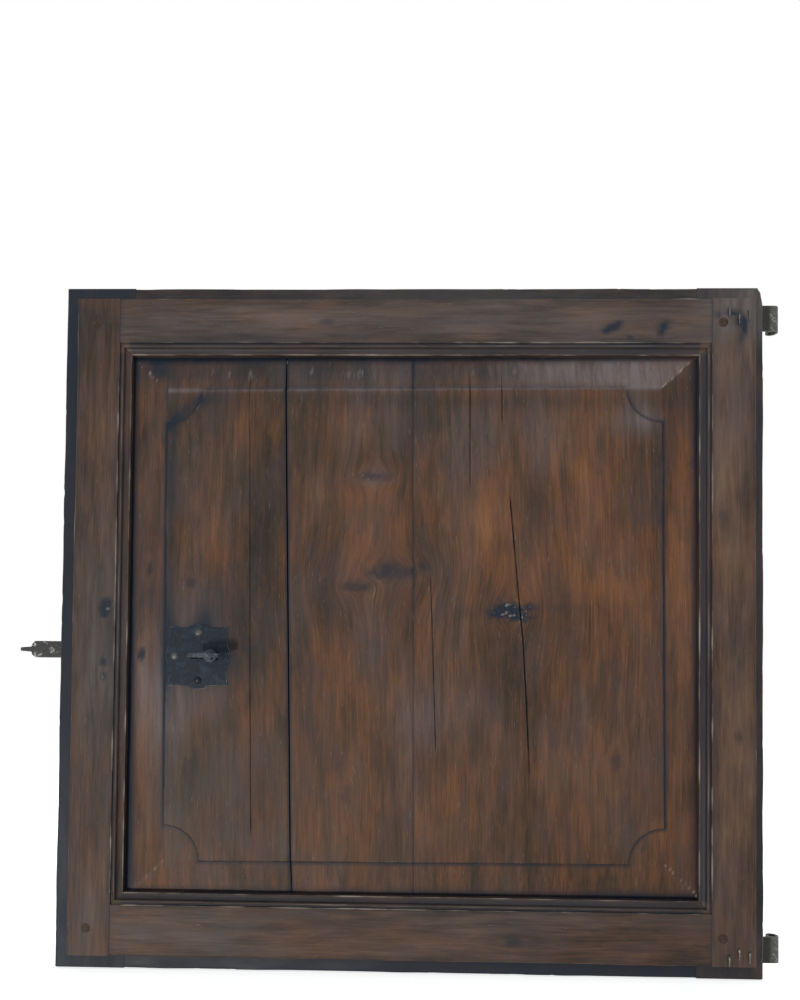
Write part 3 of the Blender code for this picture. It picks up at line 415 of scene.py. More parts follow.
def stretch(piece, offset, cuts=()):
    """Extrudes a filled ring by offset and divides the edges that run that way, once for each of cuts."""
    work_on_mesh(
        (bpy.ops.mesh.select_mode, {"type": "EDGE"}),
        (bpy.ops.mesh.extrude_region_move, {"TRANSFORM_OT_translate": {"value": offset}}),
        OUTWARDS, (bpy.ops.mesh.select_all, {"action": "DESELECT"}),
    )
    way = Vector(offset).normalized()
    for edge in piece.data.edges:
        start, end = (piece.data.vertices[i].co for i in edge.vertices)
        edge.select = abs((end - start).normalized().dot(way)) > 0.999
    bpy.ops.object.mode_set(mode="EDIT")
    for count in cuts:
        bpy.ops.mesh.subdivide(number_cuts=count)
    bpy.ops.object.mode_set(mode="OBJECT")
    return piece


def places(piece):
    """Vertex places of a mesh as an array."""
    found = np.empty(len(piece.data.vertices) * 3)
    piece.data.vertices.foreach_get("co", found)
    return found.reshape(-1, 3)


def move_to(piece, found):
    """Puts the vertices of a mesh at new places."""
    piece.data.vertices.foreach_set("co", np.ascontiguousarray(found, dtype=float).ravel())
    piece.data.update()


def worn_member(name, lip, wide, low, high, seed):
    """A stile or rail in (across, depth, along) terms, worn but not yet cut or put in place."""
    piece = fill_ring(name, [(a, d, low) for a, d in section_ring(lip, wide)])
    stretch(piece, (0, 0, high - low), ALONG_CUTS)
    found = places(piece)
    across, back, along = found.T
    shift = np.zeros_like(found)
    for number, ((corner_a, corner_d), way, most) in enumerate(arrises(lip, wide)):
        reach = np.hypot(across - corner_a, back - corner_d)
        amount = 0.45 + 0.45 * rough_noise(along, (55 * MM,), seed + 10 * number)
        nicks = np.clip(rough_noise(along, (16 * MM,), seed + 10 * number + 5) - 0.45, 0, 1) * 2.2
        pull = most * np.clip(amount + nicks, 0.1, 1.5) * np.clip(1 - reach / ARRIS_REACH, 0, 1) ** 1.5
        shift[:, 0] += way[0] * pull * 0.7
        shift[:, 1] += way[1] * pull * 0.7
    swell = 0.22 * MM * uneven(np.column_stack((across, along)), 24, 130, seed + 77)
    shift[:, 1] += np.where(back < THICK / 2, swell, -swell)
    move_to(piece, found + shift)
    return piece


def choose(piece):
    """Makes a piece the only selected one, and the active one."""
    bpy.ops.object.select_all(action="DESELECT")
    bpy.context.view_layer.objects.active = piece
    piece.select_set(True)


def face_outwards(piece):
    """Turns every face of a piece outwards."""
    choose(piece)
    work_on_mesh(OUTWARDS)


def put_in_place(piece, origin, across, along):
    """Turns (across, depth, along) into door terms. across and along are unit directions."""
    found = places(piece)
    placed = np.outer(found[:, 0], across) + np.outer(found[:, 2], along)
    placed[:, 1] += FRONT + found[:, 1]
    move_to(piece, placed + np.array(origin))
    face_outwards(piece)


lock_stile = worn_member("lock_stile_wood", LIP_LOCK, LOCK_WIDE, FOOT, TOP, 100)
put_in_place(lock_stile, (LEFT, 0, 0), (1, 0, 0), (0, 0, 1))
hinge_stile = worn_member("hinge_stile_wood", LIP_HINGE, HINGE_WIDE, FOOT, TOP, 200)
put_in_place(hinge_stile, (RIGHT, 0, 0), (-1, 0, 0), (0, 0, 1))
top_rail = worn_member("top_rail_wood", LIP_ENDS, TOP_WIDE, LEFT + RAIL_INSET, RIGHT - RAIL_INSET, 300)
put_in_place(top_rail, (0, 0, TOP), (0, 0, -1), (1, 0, 0))
foot_rail = worn_member("bottom_rail_wood", LIP_ENDS, FOOT_WIDE, LEFT + RAIL_INSET, RIGHT - RAIL_INSET, 400)
put_in_place(foot_rail, (0, 0, FOOT), (0, 0, 1), (1, 0, 0))
print("stile faces", len(lock_stile.data.polygons))

# %% [markdown]
# ## The frame's joints
# The rails are tenoned through the stiles. In front the moulding is mitred and the plain faces meet in a
# straight line just outside it. The waste is taken off with Boolean cuts, as a joiner saws it off, and the
# tenons are added back as blocks. A third of a millimetre is left open at each joint. The upper corner on
# the hinge side has been knocked off, which takes two more cuts.

# %% Cutting the joints
OPEN, FAR, TENON_SHORT = 0.3 * MM, 30 * MM, 0.5 * MM
MITRE_DEEP, TENON_FRONT, TENON_BACK = 10 * MM, 14.5 * MM, 23 * MM
GROOVE_FRONT, GROOVE_BACK, GROOVE_DEEP, HAUNCH = 11 * MM, 18 * MM, 13 * MM, 14 * MM


def block(name, low, high):
    """A box between two corners given as (x, depth behind the front face, z), its place in its mesh."""
    bpy.ops.mesh.primitive_cube_add(size=1)
    piece = bpy.context.object
    piece.name = name
    low, high = np.minimum(low, high) + (0, FRONT, 0), np.maximum(low, high) + (0, FRONT, 0)
    move_to(piece, (low + high) / 2 + places(piece) * (high - low))
    return piece


def prism(name, outline, low, high):
    """An (x, z) outline made solid between two depths behind the front face."""
    piece = fill_ring(name, [(x, FRONT + low, z) for x, z in outline])
    return stretch(piece, (0, high - low, 0))


def shape_with(piece, tool, operation="DIFFERENCE"):
    """Cuts a piece with a tool, or joins the tool to it, and removes the tool."""
    modifier = piece.modifiers.new("joint", "BOOLEAN")
    modifier.object = tool
    modifier.operation = operation
    choose(piece)
    bpy.ops.object.modifier_apply(modifier=modifier.name)
    bpy.data.objects.remove(tool)


SIDES = ((INNER_LEFT, -1, LEFT), (INNER_RIGHT, 1, RIGHT))
ENDS = ((INNER_TOP, TOP, 1), (INNER_FOOT, FOOT, -1))
for stile, (inner_x, out, edge) in zip((lock_stile, hinge_stile), SIDES):
    far_in, far_out, joint_x = inner_x - out * FAR, edge + out * FAR, inner_x + out * (MOULD + OPEN)
    groove_low = (inner_x + out * GROOVE_DEEP, GROOVE_FRONT, INNER_FOOT - GROOVE_DEEP)
    shape_with(stile, block("groove", groove_low, (far_in, GROOVE_BACK, INNER_TOP + GROOVE_DEEP)))
    for inner_z, end, up in ENDS:
        beyond = end + up * FAR
        mortise_low = (far_out, TENON_FRONT - OPEN, inner_z + up * (GROOVE_DEEP - OPEN))
        mortise_high = (far_in, TENON_BACK + OPEN, end - up * (LIP_ENDS + HAUNCH - OPEN))
        shape_with(stile, block("mortise", mortise_low, mortise_high))
        rebate_low = (far_out, -FAR, end - up * LIP_ENDS)
        shape_with(stile, block("rebate", rebate_low, (far_in, LIP_DEPTH, beyond)))
        mitre = [
            (joint_x, beyond), (joint_x, inner_z + up * MOULD), (inner_x + out * OPEN, inner_z),
            (far_in, inner_z), (far_in, beyond),
        ]
        shape_with(stile, prism("mitre", mitre, -FAR, MITRE_DEEP))
for rail, (inner_z, end, up) in zip((top_rail, foot_rail), ENDS):
    beyond, within = end + up * FAR, inner_z - up * FAR
    groove_high = (INNER_RIGHT + FAR, GROOVE_BACK, inner_z + up * GROOVE_DEEP)
    shape_with(rail, block("groove", (INNER_LEFT - FAR, GROOVE_FRONT, within), groove_high))
    for inner_x, out, edge in SIDES:
        far_out, joint_x = edge + out * FAR, inner_x + out * MOULD
        shoulder_high = (inner_x - out * OPEN, 2 * FAR, within)
        shape_with(rail, block("shoulder", (far_out, MITRE_DEEP - OPEN, beyond), shoulder_high))
        mitre = [
            (far_out, beyond), (joint_x, beyond), (joint_x, inner_z + up * MOULD), (inner_x, inner_z),
            (inner_x, within), (far_out, within),
        ]
        shape_with(rail, prism("mitre", mitre, -FAR, MITRE_DEEP))
    for inner_x, out, edge in SIDES:
        tenon_low = (edge - out * TENON_SHORT, TENON_FRONT, inner_z + up * GROOVE_DEEP)
        tenon_high = (inner_x - out * FAR, TENON_BACK, end - up * (LIP_ENDS + HAUNCH))
        shape_with(rail, block("tenon", tenon_low, tenon_high), "UNION")
broken = [(9, 9), (-7.5, 9), (-6.5, -1), (-3.4, -5.5), (-2.6, -11), (-1.2, -17), (-0.7, -21), (9, -26)]
broken = [(RIGHT + x * MM, TOP + z * MM) for x, z in broken]
shape_with(hinge_stile, prism("broken_corner", broken, -FAR, 2 * FAR))
bruised = [(9, 9), (-6.0, 9), (-5.0, -0.6), (-2.6, -2.2), (-0.8, -5.4), (9, -8)]
bruised = [(RIGHT - LIP_HINGE + x * MM, TOP - LIP_ENDS + z * MM) for x, z in bruised]
shape_with(hinge_stile, prism("bruised_corner", bruised, -FAR, LIP_DEPTH - MM))
print("rail faces", len(top_rail.data.polygons))

# %% [markdown]
# ## Grime, wear and painted highlights on the frame
# Grime settles in the quirk and the hollow of the moulding and covers the whole rebated lip, which never
# sees a cloth. Hands and sleeves rub the arrises bare, and the pale lines on the arrises and the bead are
# partly painted highlights, as are the pale glints in the knots. Both are painted from each point's place
# in the section, so they follow the wood wherever it was cut. Knots bend the grain round them.

# %% Painting the frame
# middle and half sizes across and up in millimetres, and how dark a knot or how strong a spot is
KNOTS_FRAME = (
    (-782.4, 407.4, 7, 11, 0.85), (-785, 344, 4, 6, 0.7), (-784, 327, 4, 6, 0.65),
    (-197.9, 736.0, 9, 5, 0.3), (-140.6, 736.0, 8, 5, 0.3), (-178.4, 723.2, 4, 3, 0.6),
    (-70, 514, 6, 10, 0.35), (-530, 742, 7, 4, 0.4), (-54, 264, 5, 8, 0.5), (-310, 30, 8, 5, 0.6),
)
FRAME_TONE_SPOTS = (
    (-770, 744, 120, 16, -0.08), (-650, 726, 110, 12, -0.12), (-590, 749, 60, 6, 0.14),
    (-240, 753, 50, 6, 0.16), (-110, 746, 40, 6, 0.12), (-700, 738, 80, 4, -0.14),
    (-480, 728, 100, 4, -0.12), (-330, 741, 80, 4, -0.12), (-160, 722, 60, 4, -0.10),
    (-430, 752, 70, 5, 0.10), (-570, 742, 70, 20, 0.06), (-390, 734, 90, 22, 0.04),
    (-260, 749, 60, 14, -0.06), (-60, 752, 40, 22, -0.10), (-780, 574, 26, 70, 0.07),
    (-810, 464, 14, 120, -0.08), (-70, 574, 18, 110, 0.08), (-60, 394, 22, 60, -0.06),
    (-62, 480, 40, 300, 0.09), (-430, 740, 150, 40, -0.06), (-780, 314, 24, 60, -0.08),
    (-70, 214, 20, 90, 0.06),
)
FRAME_DULL_SPOTS = (
    (-790, 344, 30, 110, 0.5), (-490, 744, 220, 20, 0.3), (-210, 736, 120, 22, 0.3),
    (-42, 762, 44, 36, 1.6), (-70, 640, 30, 90, 0.4), (-790, 600, 20, 90, 0.15),
)
FRAME_GRIME_SPOTS = (
    (-800.6, 746, 8, 8, 0.45), (-60, 752.5, 9, 3.5, 1.1), (-49, 743, 5, 6, 1.2), (-47.5, 732, 5, 8, 0.9),
    (-56, 742, 5, 5, 0.6), (-52, 722, 4, 6, 0.6), (-77.7, 750, 4, 4, 0.7), (-206, 731, 6, 3.5, 1.0),
    (-198, 735.5, 6, 3.5, 1.1), (-191, 741, 5, 3.5, 0.9), (-143, 729, 3.5, 4, 0.9), (-140, 736, 4, 4, 1.0),
    (-136, 742, 6, 3.5, 0.8), (-782, 380, 12, 40, 0.25), (-610, 722, 120, 5, 0.3), (-330, 752, 120, 5, 0.3),
    (-420, 740, 60, 4, 0.25),
)


def spot_sum(x, z, spots):
    """Adds up soft spots, each given as its middle, half width, half height and strength."""
    total = np.zeros_like(x)
    for cx, cz, wide, tall, strength in spots:
        total += strength * near((x / MM - cx) / wide, 1) * near((z / MM - cz) / tall, 1)
    return total


def write_attribute(piece, name, values):
    """Puts a number or a vector on each point of a mesh, for a material to read."""
    kind, field = ("FLOAT", "value") if values.ndim == 1 else ("FLOAT_VECTOR", "vector")
    made = piece.data.attributes.new(name, kind, "POINT")
    made.data.foreach_set(field, np.ascontiguousarray(values, dtype=float).ravel())


def paint(piece, grain, grime_and_shade, bare_and_highlight, lightness, dull_and_sheen, material):
    """Writes what the pine material reads, and shades the piece smooth where its faces nearly meet flat."""
    write_attribute(piece, "grain", grain)
    write_attribute(piece, "marks", np.clip(np.column_stack((grime_and_shade, bare_and_highlight, lightness)), 0, 1))
    write_attribute(piece, "dull_and_sheen", np.clip(dull_and_sheen, 0, 1))
    choose(piece)
    bpy.ops.object.shade_smooth_by_angle(angle=math.radians(38))
    piece.data.materials.clear()
    piece.data.materials.append(material)


def round_knots(across, along, knots):
    """Bends the grain round knots given as (across, along, half width, half length, darkness) in metres."""
    bent, dark = across.copy(), np.zeros_like(across)
    lumps = 0.45 * uneven(np.column_stack((across, along)), 9, 7, 9)
    for x, z, wide, tall, strength in knots:
        dx, dz = across - x, along - z
        pull = wide ** 2 * 1.1 / (dx ** 2 + (dz * wide / tall / 2.2) ** 2 + wide ** 2 * 0.5)
        bent -= dx * pull * 0.75
        heart = np.clip(1.9 - 1.4 * np.hypot(dx / wide, dz / tall) - 2 * lumps, 0, 1)
        dark = np.maximum(dark, strength * heart)
    return bent, dark


def knots_of(node, edge, along_axis):
    """A member's knots in its own terms and in metres: across, along, half sizes and darkness."""
    low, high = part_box(node)
    cross_axis, knots = 2 - along_axis, []
    for x, z, half_x, half_z, strength in KNOTS_FRAME:
        if low[0] <= x * MM <= high[0] and low[2] <= z * MM <= high[2]:
            centre, half = (x * MM, 0, z * MM), (half_x * MM, 0, half_z * MM)
            place = (abs(centre[cross_axis] - edge), centre[along_axis])
            knots.append(place + (half[cross_axis], half[along_axis], strength))
    return knots


def paint_member(piece, node, lip, wide, edge, along_axis, seed, in_hollow, on_lip, wax):
    """Paints a stile (along_axis 2) or a rail (along_axis 0) from its section."""
    found = places(piece)
    x, back, z = found[:, 0], found[:, 1] - FRONT, found[:, 2]
    across, along = np.abs(found[:, 2 - along_axis] - edge), found[:, along_axis]
    flat = np.column_stack((across, along))
    from_inner = lip + wide - across
    bent, dark = round_knots(across, along, knots_of(node, edge, along_axis))
    run = (INNER_LEFT, INNER_RIGHT) if along_axis == 0 else (INNER_FOOT, INNER_TOP)
    in_run = (along > run[0] - 2 * MM) & (along < run[1] + 2 * MM)
    joints = np.minimum(abs(along - run[0] + MOULD), abs(along - run[1] - MOULD))
    if along_axis == 2:
        joints = np.where(in_run, 1.0, abs(from_inner - MOULD))
    ends = np.minimum(TOP - along, along - FOOT) if along_axis == 2 else np.full_like(along, 1.0)
    lip_face = (back > LIP_DEPTH - 1.5 * MM) & (back < THICK - 2 * MM)
    lip_face = lip_face & ((across < lip + MM) | (ends < LIP_ENDS + MM))
    corner = near(np.hypot(x - RIGHT, z - TOP), 55 * MM)
    grime_and_shade = 0.8 * near(from_inner - 12.2 * MM, MM) + in_hollow * near(from_inner - 5 * MM, 4.8 * MM)
    grime_and_shade = grime_and_shade * in_run
    grime_and_shade += on_lip * lip_face * (1 - 0.7 * corner) + 0.35 * near(joints, 2.2 * MM) + dark
    grime_and_shade += 0.3 * np.clip(uneven(flat, 30, 90, seed) - 0.15, 0, 1)
    grime_and_shade += spot_sum(x, z, FRAME_GRIME_SPOTS) * (back < 3 * MM)
    bare_and_highlight = 0.3 * corner * lip_face * (uneven(flat, 7, 11, seed + 8) > 0.1)
    # painted highlight: pale glints in the darkest knots
    bare_and_highlight += 0.5 * (dark > 0.5) * (smooth_noise(flat, (6 * MM, 7 * MM), 72) > 0.45)
    # worn arrises, partly painted highlights: pale lines along the arrises
    for number, ((corner_a, corner_d), _, _) in enumerate(arrises(lip, wide)[:4]):
        patchy = np.clip(0.3 + 0.6 * rough_noise(along, (25 * MM,), seed + 3 + number), 0, 1)
        patchy = patchy * (1.5 * in_run if number > 1 else 1)
        bare_and_highlight += near(np.hypot(across - corner_a, back - corner_d), 1.5 * MM) * patchy
    # partly worn, partly painted highlight: a pale line along the bead
    on_bead = 0.5 * near(from_inner - 9.7 * MM, 0.9 * MM) * in_run
    bare_and_highlight += on_bead * (0.5 + 0.5 * smooth_noise(along, (40 * MM,), seed + 4))
    lightness = 0.5 + 0.13 * uneven(flat, 26, 90, seed + 5) + 1.3 * spot_sum(x, z, FRAME_TONE_SPOTS)
    lightness -= 0.2 * lip_face + 0.08 * near(across - lip, 7 * MM)
    lightness -= 0.12 * near(from_inner - MOULD, 6 * MM) * in_run
    dull_and_sheen = wax + 0.35 * uneven(flat, 40, 160, seed + 6) + spot_sum(x, z, FRAME_DULL_SPOTS)
    grain = np.column_stack((bent + seed * 0.31, back, along + seed * 0.17))
    paint(piece, grain, grime_and_shade, bare_and_highlight, lightness, dull_and_sheen, FRAME_PINE)
    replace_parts(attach(piece, "door"), node)


# piece, node, lip, width, outer edge, axis, seed, grime in the hollow, grime on the lip, dull wax
paint_member(lock_stile, "lock_stile", LIP_LOCK, LOCK_WIDE, LEFT, 2, 1, 0.35, 0.85, 0.02)
paint_member(hinge_stile, "hinge_stile", LIP_HINGE, HINGE_WIDE, RIGHT, 2, 2, 0.8, 0.45, 0.16)
paint_member(top_rail, "top_rail", LIP_ENDS, TOP_WIDE, TOP, 0, 3, 0.55, 0.32, 0.24)
paint_member(foot_rail, "bottom_rail", LIP_ENDS, FOOT_WIDE, FOOT, 0, 4, 0.6, 0.8, 0.1)
print("frame painted")

# %% [markdown]
# ## The panel
# Three upright boards make the panel. Its border is bevelled down to a feather edge that sits loose in
# the frame's grooves, and the raised field in the middle has a quarter circle scooped out of each corner.
# The face is described by how deep it lies at each place, so that bevel, step, scoop, cracks and wear can
# all be pressed into one sheet.

# %% The panel's face
PANEL_X, PANEL_Z, TILT = -426.0 * MM, 391.0 * MM, math.radians(-0.4)
EDGE_X, EDGE_Z = 337.1 * MM, 320 * MM
FIELD_X, FIELD_Z, SCOOP = 287.8 * MM, 274.5 * MM, 41 * MM
FIELD_DEEP, STEP_DEEP, FEATHER, PANEL_BACK = 3 * MM, 5.5 * MM, 13.2 * MM, 17.7 * MM


def inside_field(x, z):
    """How far inside the raised field's outline a point is. On the bevel it is negative."""
    straight = np.minimum(FIELD_X - abs(x), FIELD_Z - abs(z))
    scooped = np.hypot(FIELD_X - abs(x), FIELD_Z - abs(z)) - SCOOP
    return np.minimum(straight, scooped)


def panel_face(x, z):
    """Depth of the panel's face behind the frame's face."""
    flat = np.column_stack((x, z))
    inside = inside_field(x, z) + 0.35 * MM * uneven(flat, 14, 14, 31)
    run_x, run_z = (abs(x) - FIELD_X) / (EDGE_X - FIELD_X), (abs(z) - FIELD_Z) / (EDGE_Z - FIELD_Z)
    bevel = STEP_DEEP + (FEATHER - STEP_DEEP) * np.maximum(0, np.maximum(run_x, run_z))
    rubbed = 1.3 * MM + 6.5 * MM * near(np.hypot(x + 272 * MM, z - 252 * MM), 38 * MM)
    share = np.clip(inside / rubbed + 0.5, 0, 1)
    share = share * share * (3 - 2 * share)
    swell = 0.3 * MM * uneven(flat, 38, 150, 37)
    return bevel + (FIELD_DEEP - bevel) * share + swell * np.where(bevel > FEATHER - MM, 0.15, 1)


def line_at(points, z):
    """Where a joint or crack, given as (x, z) points in millimetres, is at each height."""
    ordered = sorted(points, key=lambda p: p[1])
    return np.interp(z, [p[1] * MM for p in ordered], [p[0] * MM for p in ordered])


FIRST_JOINT, SECOND_JOINT = ((-149.4, 324), (-139.4, -324)), ((-0.4, 324), (1.6, -324))
CRACKS = (
    # path in millimetres from the panel's middle, half width, depth
    (((-191.3, 300), (-189.3, 85.8), (-188.0, -88), (-186, -250)), 0.5, 1.0),
    (((20.5, 60), (21.2, 39.2), (24.9, -76.2), (27, -150)), 0.5, 1.5),
    (((66.0, 300), (66.0, 213.6), (66.1, 150)), 0.55, 1.8),
    (((103.0, 300), (103.0, 227)), 0.5, 1.5),
    (((111.5, 155), (113.4, 134), (122.5, 27.8), (127.1, -18.4), (131.6, -101), (134.5, -180)), 0.7, 3.0),
    (((204.0, 36), (203.8, -45)), 0.45, 1.0),
)
KNOTS_PANEL = (
    # across, up, half width and half height in millimetres, darkness
    (114, 14, 22, 10, 1.0), (-317.0, -36.7, 4, 9, 0.7), (-308.6, 62.4, 4, 8, 0.6),
    (-259.2, 48.4, 5, 6, 0.5), (-44, 172, 17, 5, 0.6), (-24, 60, 26, 9, 0.6), (-62, 44, 20, 5, 0.55),
    (12, 66, 8, 5, 0.5), (233, -155, 6, 9, 0.5), (-75, -195, 7, 11, 0.4),
)
print("field depth", round(FIELD_DEEP / MM, 1), "mm, feather edge", round(FEATHER / MM, 1), "mm")

# %% [markdown]
# Each board starts as a flat grid. Its columns lie closely in the scooped corners and beside every crack,
# and widely elsewhere, so a crack less than a millimetre wide can be pressed into the mesh. The sheet is
# then extruded to a flat back.

# %% A board
ROW_STEP, COLUMN_STEP, ZONE_STEP = 4.4 * MM, 3.2 * MM, 1.3 * MM
LINE_ROOM, LINE_STOPS = 2.4 * MM, np.array((-1.8, -0.8, -0.35, 0, 0.35, 0.8, 1.8)) * MM
CORNER_ZONE, KNOT_ROWS, KNOT_COLUMNS = 44 * MM, (0, 28 * MM), (84 * MM, 142 * MM)


def spaced(low, high, lines, zones, wide):
    """Places from low to high: closest beside lines, close inside zones, and wide apart elsewhere."""
    stops = set(np.arange(low, high, wide)) | {high}
    for start, end in zones:
        stops |= set(np.arange(max(low, start), min(high, end), ZONE_STEP))
    stops = np.array(sorted(stops))
    for line in lines:
        stops = stops[abs(stops - line) > LINE_ROOM]
        stops = np.concatenate((stops, line + LINE_STOPS))
    stops = np.concatenate((stops, (low, high)))
    stops = np.unique(np.round(stops[(stops >= low) & (stops <= high)], 6))
    return stops[np.concatenate(([True], np.diff(stops) > 0.2 * MM))]


def board_sheet(name, left, right):
    """A grid between two edges, each a joint's path or a fixed distance, and its (x, z) places."""
    tall = ((-FIELD_Z, CORNER_ZONE - FIELD_Z), KNOT_ROWS, (FIELD_Z - CORNER_ZONE, FIELD_Z))
    rows = spaced(-EDGE_Z, EDGE_Z, (-FIELD_Z, FIELD_Z), tall, ROW_STEP)
    left_mid, right_mid = line_at(left, 0.0), line_at(right, 0.0)
    guides = [left] + [c[0] for c in CRACKS if left_mid + 4 * MM < line_at(c[0], 0.0) < right_mid - 4 * MM]
    guides += [((s, 0),) for s in (-FIELD_X / MM, FIELD_X / MM) if left_mid < s * MM < right_mid] + [right]
    guides.sort(key=lambda g: line_at(g, 0.0))
    middles = [float(line_at(g, 0.0)) for g in guides]
    zones = ((-FIELD_X, CORNER_ZONE - FIELD_X), KNOT_COLUMNS, (FIELD_X - CORNER_ZONE, FIELD_X))
    columns = spaced(left_mid, right_mid, middles[1:-1], zones, COLUMN_STEP)
    bpy.ops.mesh.primitive_grid_add(x_subdivisions=len(columns) - 1, y_subdivisions=len(rows) - 1, size=1)
    piece = bpy.context.object
    piece.name = piece.data.name = name
    guide_x = np.column_stack([line_at(g, rows) for g in guides])
    x = np.concatenate([np.interp(columns, middles, row) for row in guide_x])
    return piece, x, np.repeat(rows, len(columns))


def press_cracks(x, z, edges, seed):
    """How deep cracks and the rubbed board edges are, and how much grime and bare wood they show."""
    deep, grime_and_shade, bare_and_highlight = np.zeros_like(x), np.zeros_like(x), np.zeros_like(x)
    for path, half, depth in CRACKS:
        heights = [p[1] * MM for p in path]
        ends = np.clip(np.minimum(z - min(heights), max(heights) - z) / (14 * MM), 0, 1)
        ends = ends * (0.65 + 0.35 * smooth_noise(z, (9 * MM,), seed))
        off = abs(x - line_at(path, z)) / (half * MM)
        deep += depth * MM * ends * np.clip(1 - off, 0, 1)
        grime_and_shade = np.maximum(grime_and_shade, min(1.0, depth / 1.4) * ends * np.clip(1.4 - off, 0, 1))
        chipped = smooth_noise(z, (18 * MM,), seed + 1) > 0.1
        bare_and_highlight = np.maximum(bare_and_highlight, 0.45 * ends * near(off - 2.6, 1.0) * chipped)
    for path, open_share in edges:
        off = abs(x - line_at(path, z))
        rounded = 0.5 + 0.5 * rough_noise(z, (20 * MM,), seed + 2)
        deep += 0.8 * MM * open_share * near(off, 0.8 * MM) * rounded
        grime_and_shade = np.maximum(grime_and_shade, 0.9 * open_share * near(off, 1.1 * MM))
        chipped = rough_noise(z, (24 * MM,), seed + 4) > 0.6
        bare_and_highlight = np.maximum(bare_and_highlight, 0.8 * near(off - 1.6 * MM, 1.0 * MM) * chipped)
    return deep, grime_and_shade, bare_and_highlight


def thicken(piece):
    """Gives a sheet its thickness. The front's vertices come first in the mesh, then the back's."""
    work_on_mesh((bpy.ops.mesh.extrude_region_move, {"TRANSFORM_OT_translate": {"value": (0, 0.02, 0)}}))
    found = places(piece)
    is_back = np.arange(len(found)) >= len(found) // 2
    return found, ~is_back if found[0, 1] > found[-1, 1] else is_back


def turned(x, z):
    """Places given from the panel's middle, in the door. The panel hangs slightly turned."""
    cos, sin = math.cos(TILT), math.sin(TILT)
    return PANEL_X + x * cos + z * sin, PANEL_Z - x * sin + z * cos


print("panel turned by", round(math.degrees(TILT), 1), "degrees")

# %% [markdown]
# ## Stain, grime, wear and painted light on the panel
# The boards are stained unevenly: orange patches where the stain has worn thin, a dark area beside the
# first joint, a blue-black halo round the keyhole plate that is partly iron stain and partly the plate's
# painted shadow, and a smear in the upper left scoop. The bevel under the top rail is grimy on the left and
# scratched; on the right it carries a painted sheen, paler and greyer, with painted highlights along the
# mitres and painted shade on the side bevel below the right mitre. Where the bevel runs in under the frame
# it is painted near black as painted shade. Most of these are soft spots in the lists below, placed from
# the panel's middle.

# %% The boards
FIRST_GAP, SECOND_GAP = 0.75, 0.15


def beside_joint(joint, off):
    """A board's edge, off millimetres to the right of a joint's middle."""
    return tuple((x + off, z) for x, z in joint)


# node, left and right edges, seed, and how far the board has sunk below the others
BOARDS = (
    ("panel_board_lock_side", ((-EDGE_X / MM, 0),), beside_joint(FIRST_JOINT, -FIRST_GAP), 11, 0.0),
    ("panel_board_middle", beside_joint(FIRST_JOINT, FIRST_GAP), beside_joint(SECOND_JOINT, -SECOND_GAP),
     12, 0.15 * MM),
    ("panel_board_hinge_side", beside_joint(SECOND_JOINT, SECOND_GAP), ((EDGE_X / MM, 0),), 13, -0.1 * MM),
)
# middle and half sizes across and up in millimetres, and strength
TONE_SPOTS = (
    (-50, 109, 34, 55, 0.18), (-25, 145, 22, 30, 0.08), (-202, 226, 26, 30, 0.10), (20, -76, 60, 40, 0.09),
    (83, 125, 22, 45, 0.14), (130, 55, 30, 30, 0.12), (185, 145, 50, 90, 0.08), (225, 15, 40, 80, 0.07),
    (312, 60, 18, 260, 0.21), (200, 60, 110, 260, 0.03), (-312, -60, 16, 80, 0.22),
    (-312, 150, 16, 120, -0.06), (-220, 200, 50, 60, -0.04), (-245, 245, 40, 30, -0.14),
    (-183, 62, 26, 90, -0.17), (-210, -15, 60, 50, -0.05), (-150, 185, 14, 120, -0.10),
    (-125, 255, 14, 40, -0.12), (-65, 263, 90, 9, -0.10), (125, 257, 160, 8, -0.08),
    (145, 155, 9, 50, -0.13), (123, -65, 22, 60, -0.10), (-235, 115, 20, 60, 0.05),
    (0, 298, 330, 14, -0.08), (281, 175, 6, 120, -0.12), (-283, 100, 7, 200, -0.16),
    (-95, -45, 40, 60, 0.06), (55, 220, 30, 40, -0.05), (-25, -205, 80, 60, 0.08),
    (175, -165, 60, 80, 0.07), (-225, -185, 50, 70, -0.08), (-105, 55, 14, 70, -0.09),
    (-238, 86, 40, 45, 0.12), (-168, 150, 13, 110, -0.08),
)
# dull wax; the spots on the top bevel's right half stand for a painted sheen
WAX_AND_SHEEN_SPOTS = (
    (-20, 57, 50, 16, 0.2), (-300, -70, 34, 90, 0.9), (-50, 109, 40, 60, -0.25), (190, 60, 90, 120, -0.2),
    (200, 296, 130, 14, 0.5), (-65, 294, 120, 14, 0.3), (35, -105, 70, 40, 0.3), (-42, 168, 28, 14, 0.35),
    (130, 222, 130, 50, 0.32), (262, 236, 26, 16, 0.6), (-235, -40, 60, 70, 0.3),
)
# the first spot is the dark halo round the keyhole plate, heaviest above and right of it: partly iron
# stain, partly the plate's painted shadow
GRIME_AND_SHADE_SPOTS = (
    (-240, -24, 50, 44, 1.6), (-183, 75, 18, 70, 0.3), (-284, 234, 7, 8, 1.1), (-273, 243, 8, 7, 1.2),
    (-262, 252, 8, 7, 1.2), (-250, 261, 9, 7, 1.2), (-230, 264, 18, 8, 0.9), (-25, 62, 30, 12, 0.3),
    (150, 18, 60, 6, 0.35), (78, 12, 20, 7, 0.4), (5, 235, 22, 34, 0.4), (-160, 297, 190, 13, 0.7),
    (-305, 35, 14, 70, 0.2), (-281, 175, 7, 55, 0.9), (-285, -40, 7, 120, 0.6), (287, 60, 4, 170, 0.5),
    (120, -25, 16, 24, 0.3), (60, 297, 90, 12, 0.45), (-312, 302, 28, 14, 0.6), (0.2, 297, 2, 21, 1.4),
)
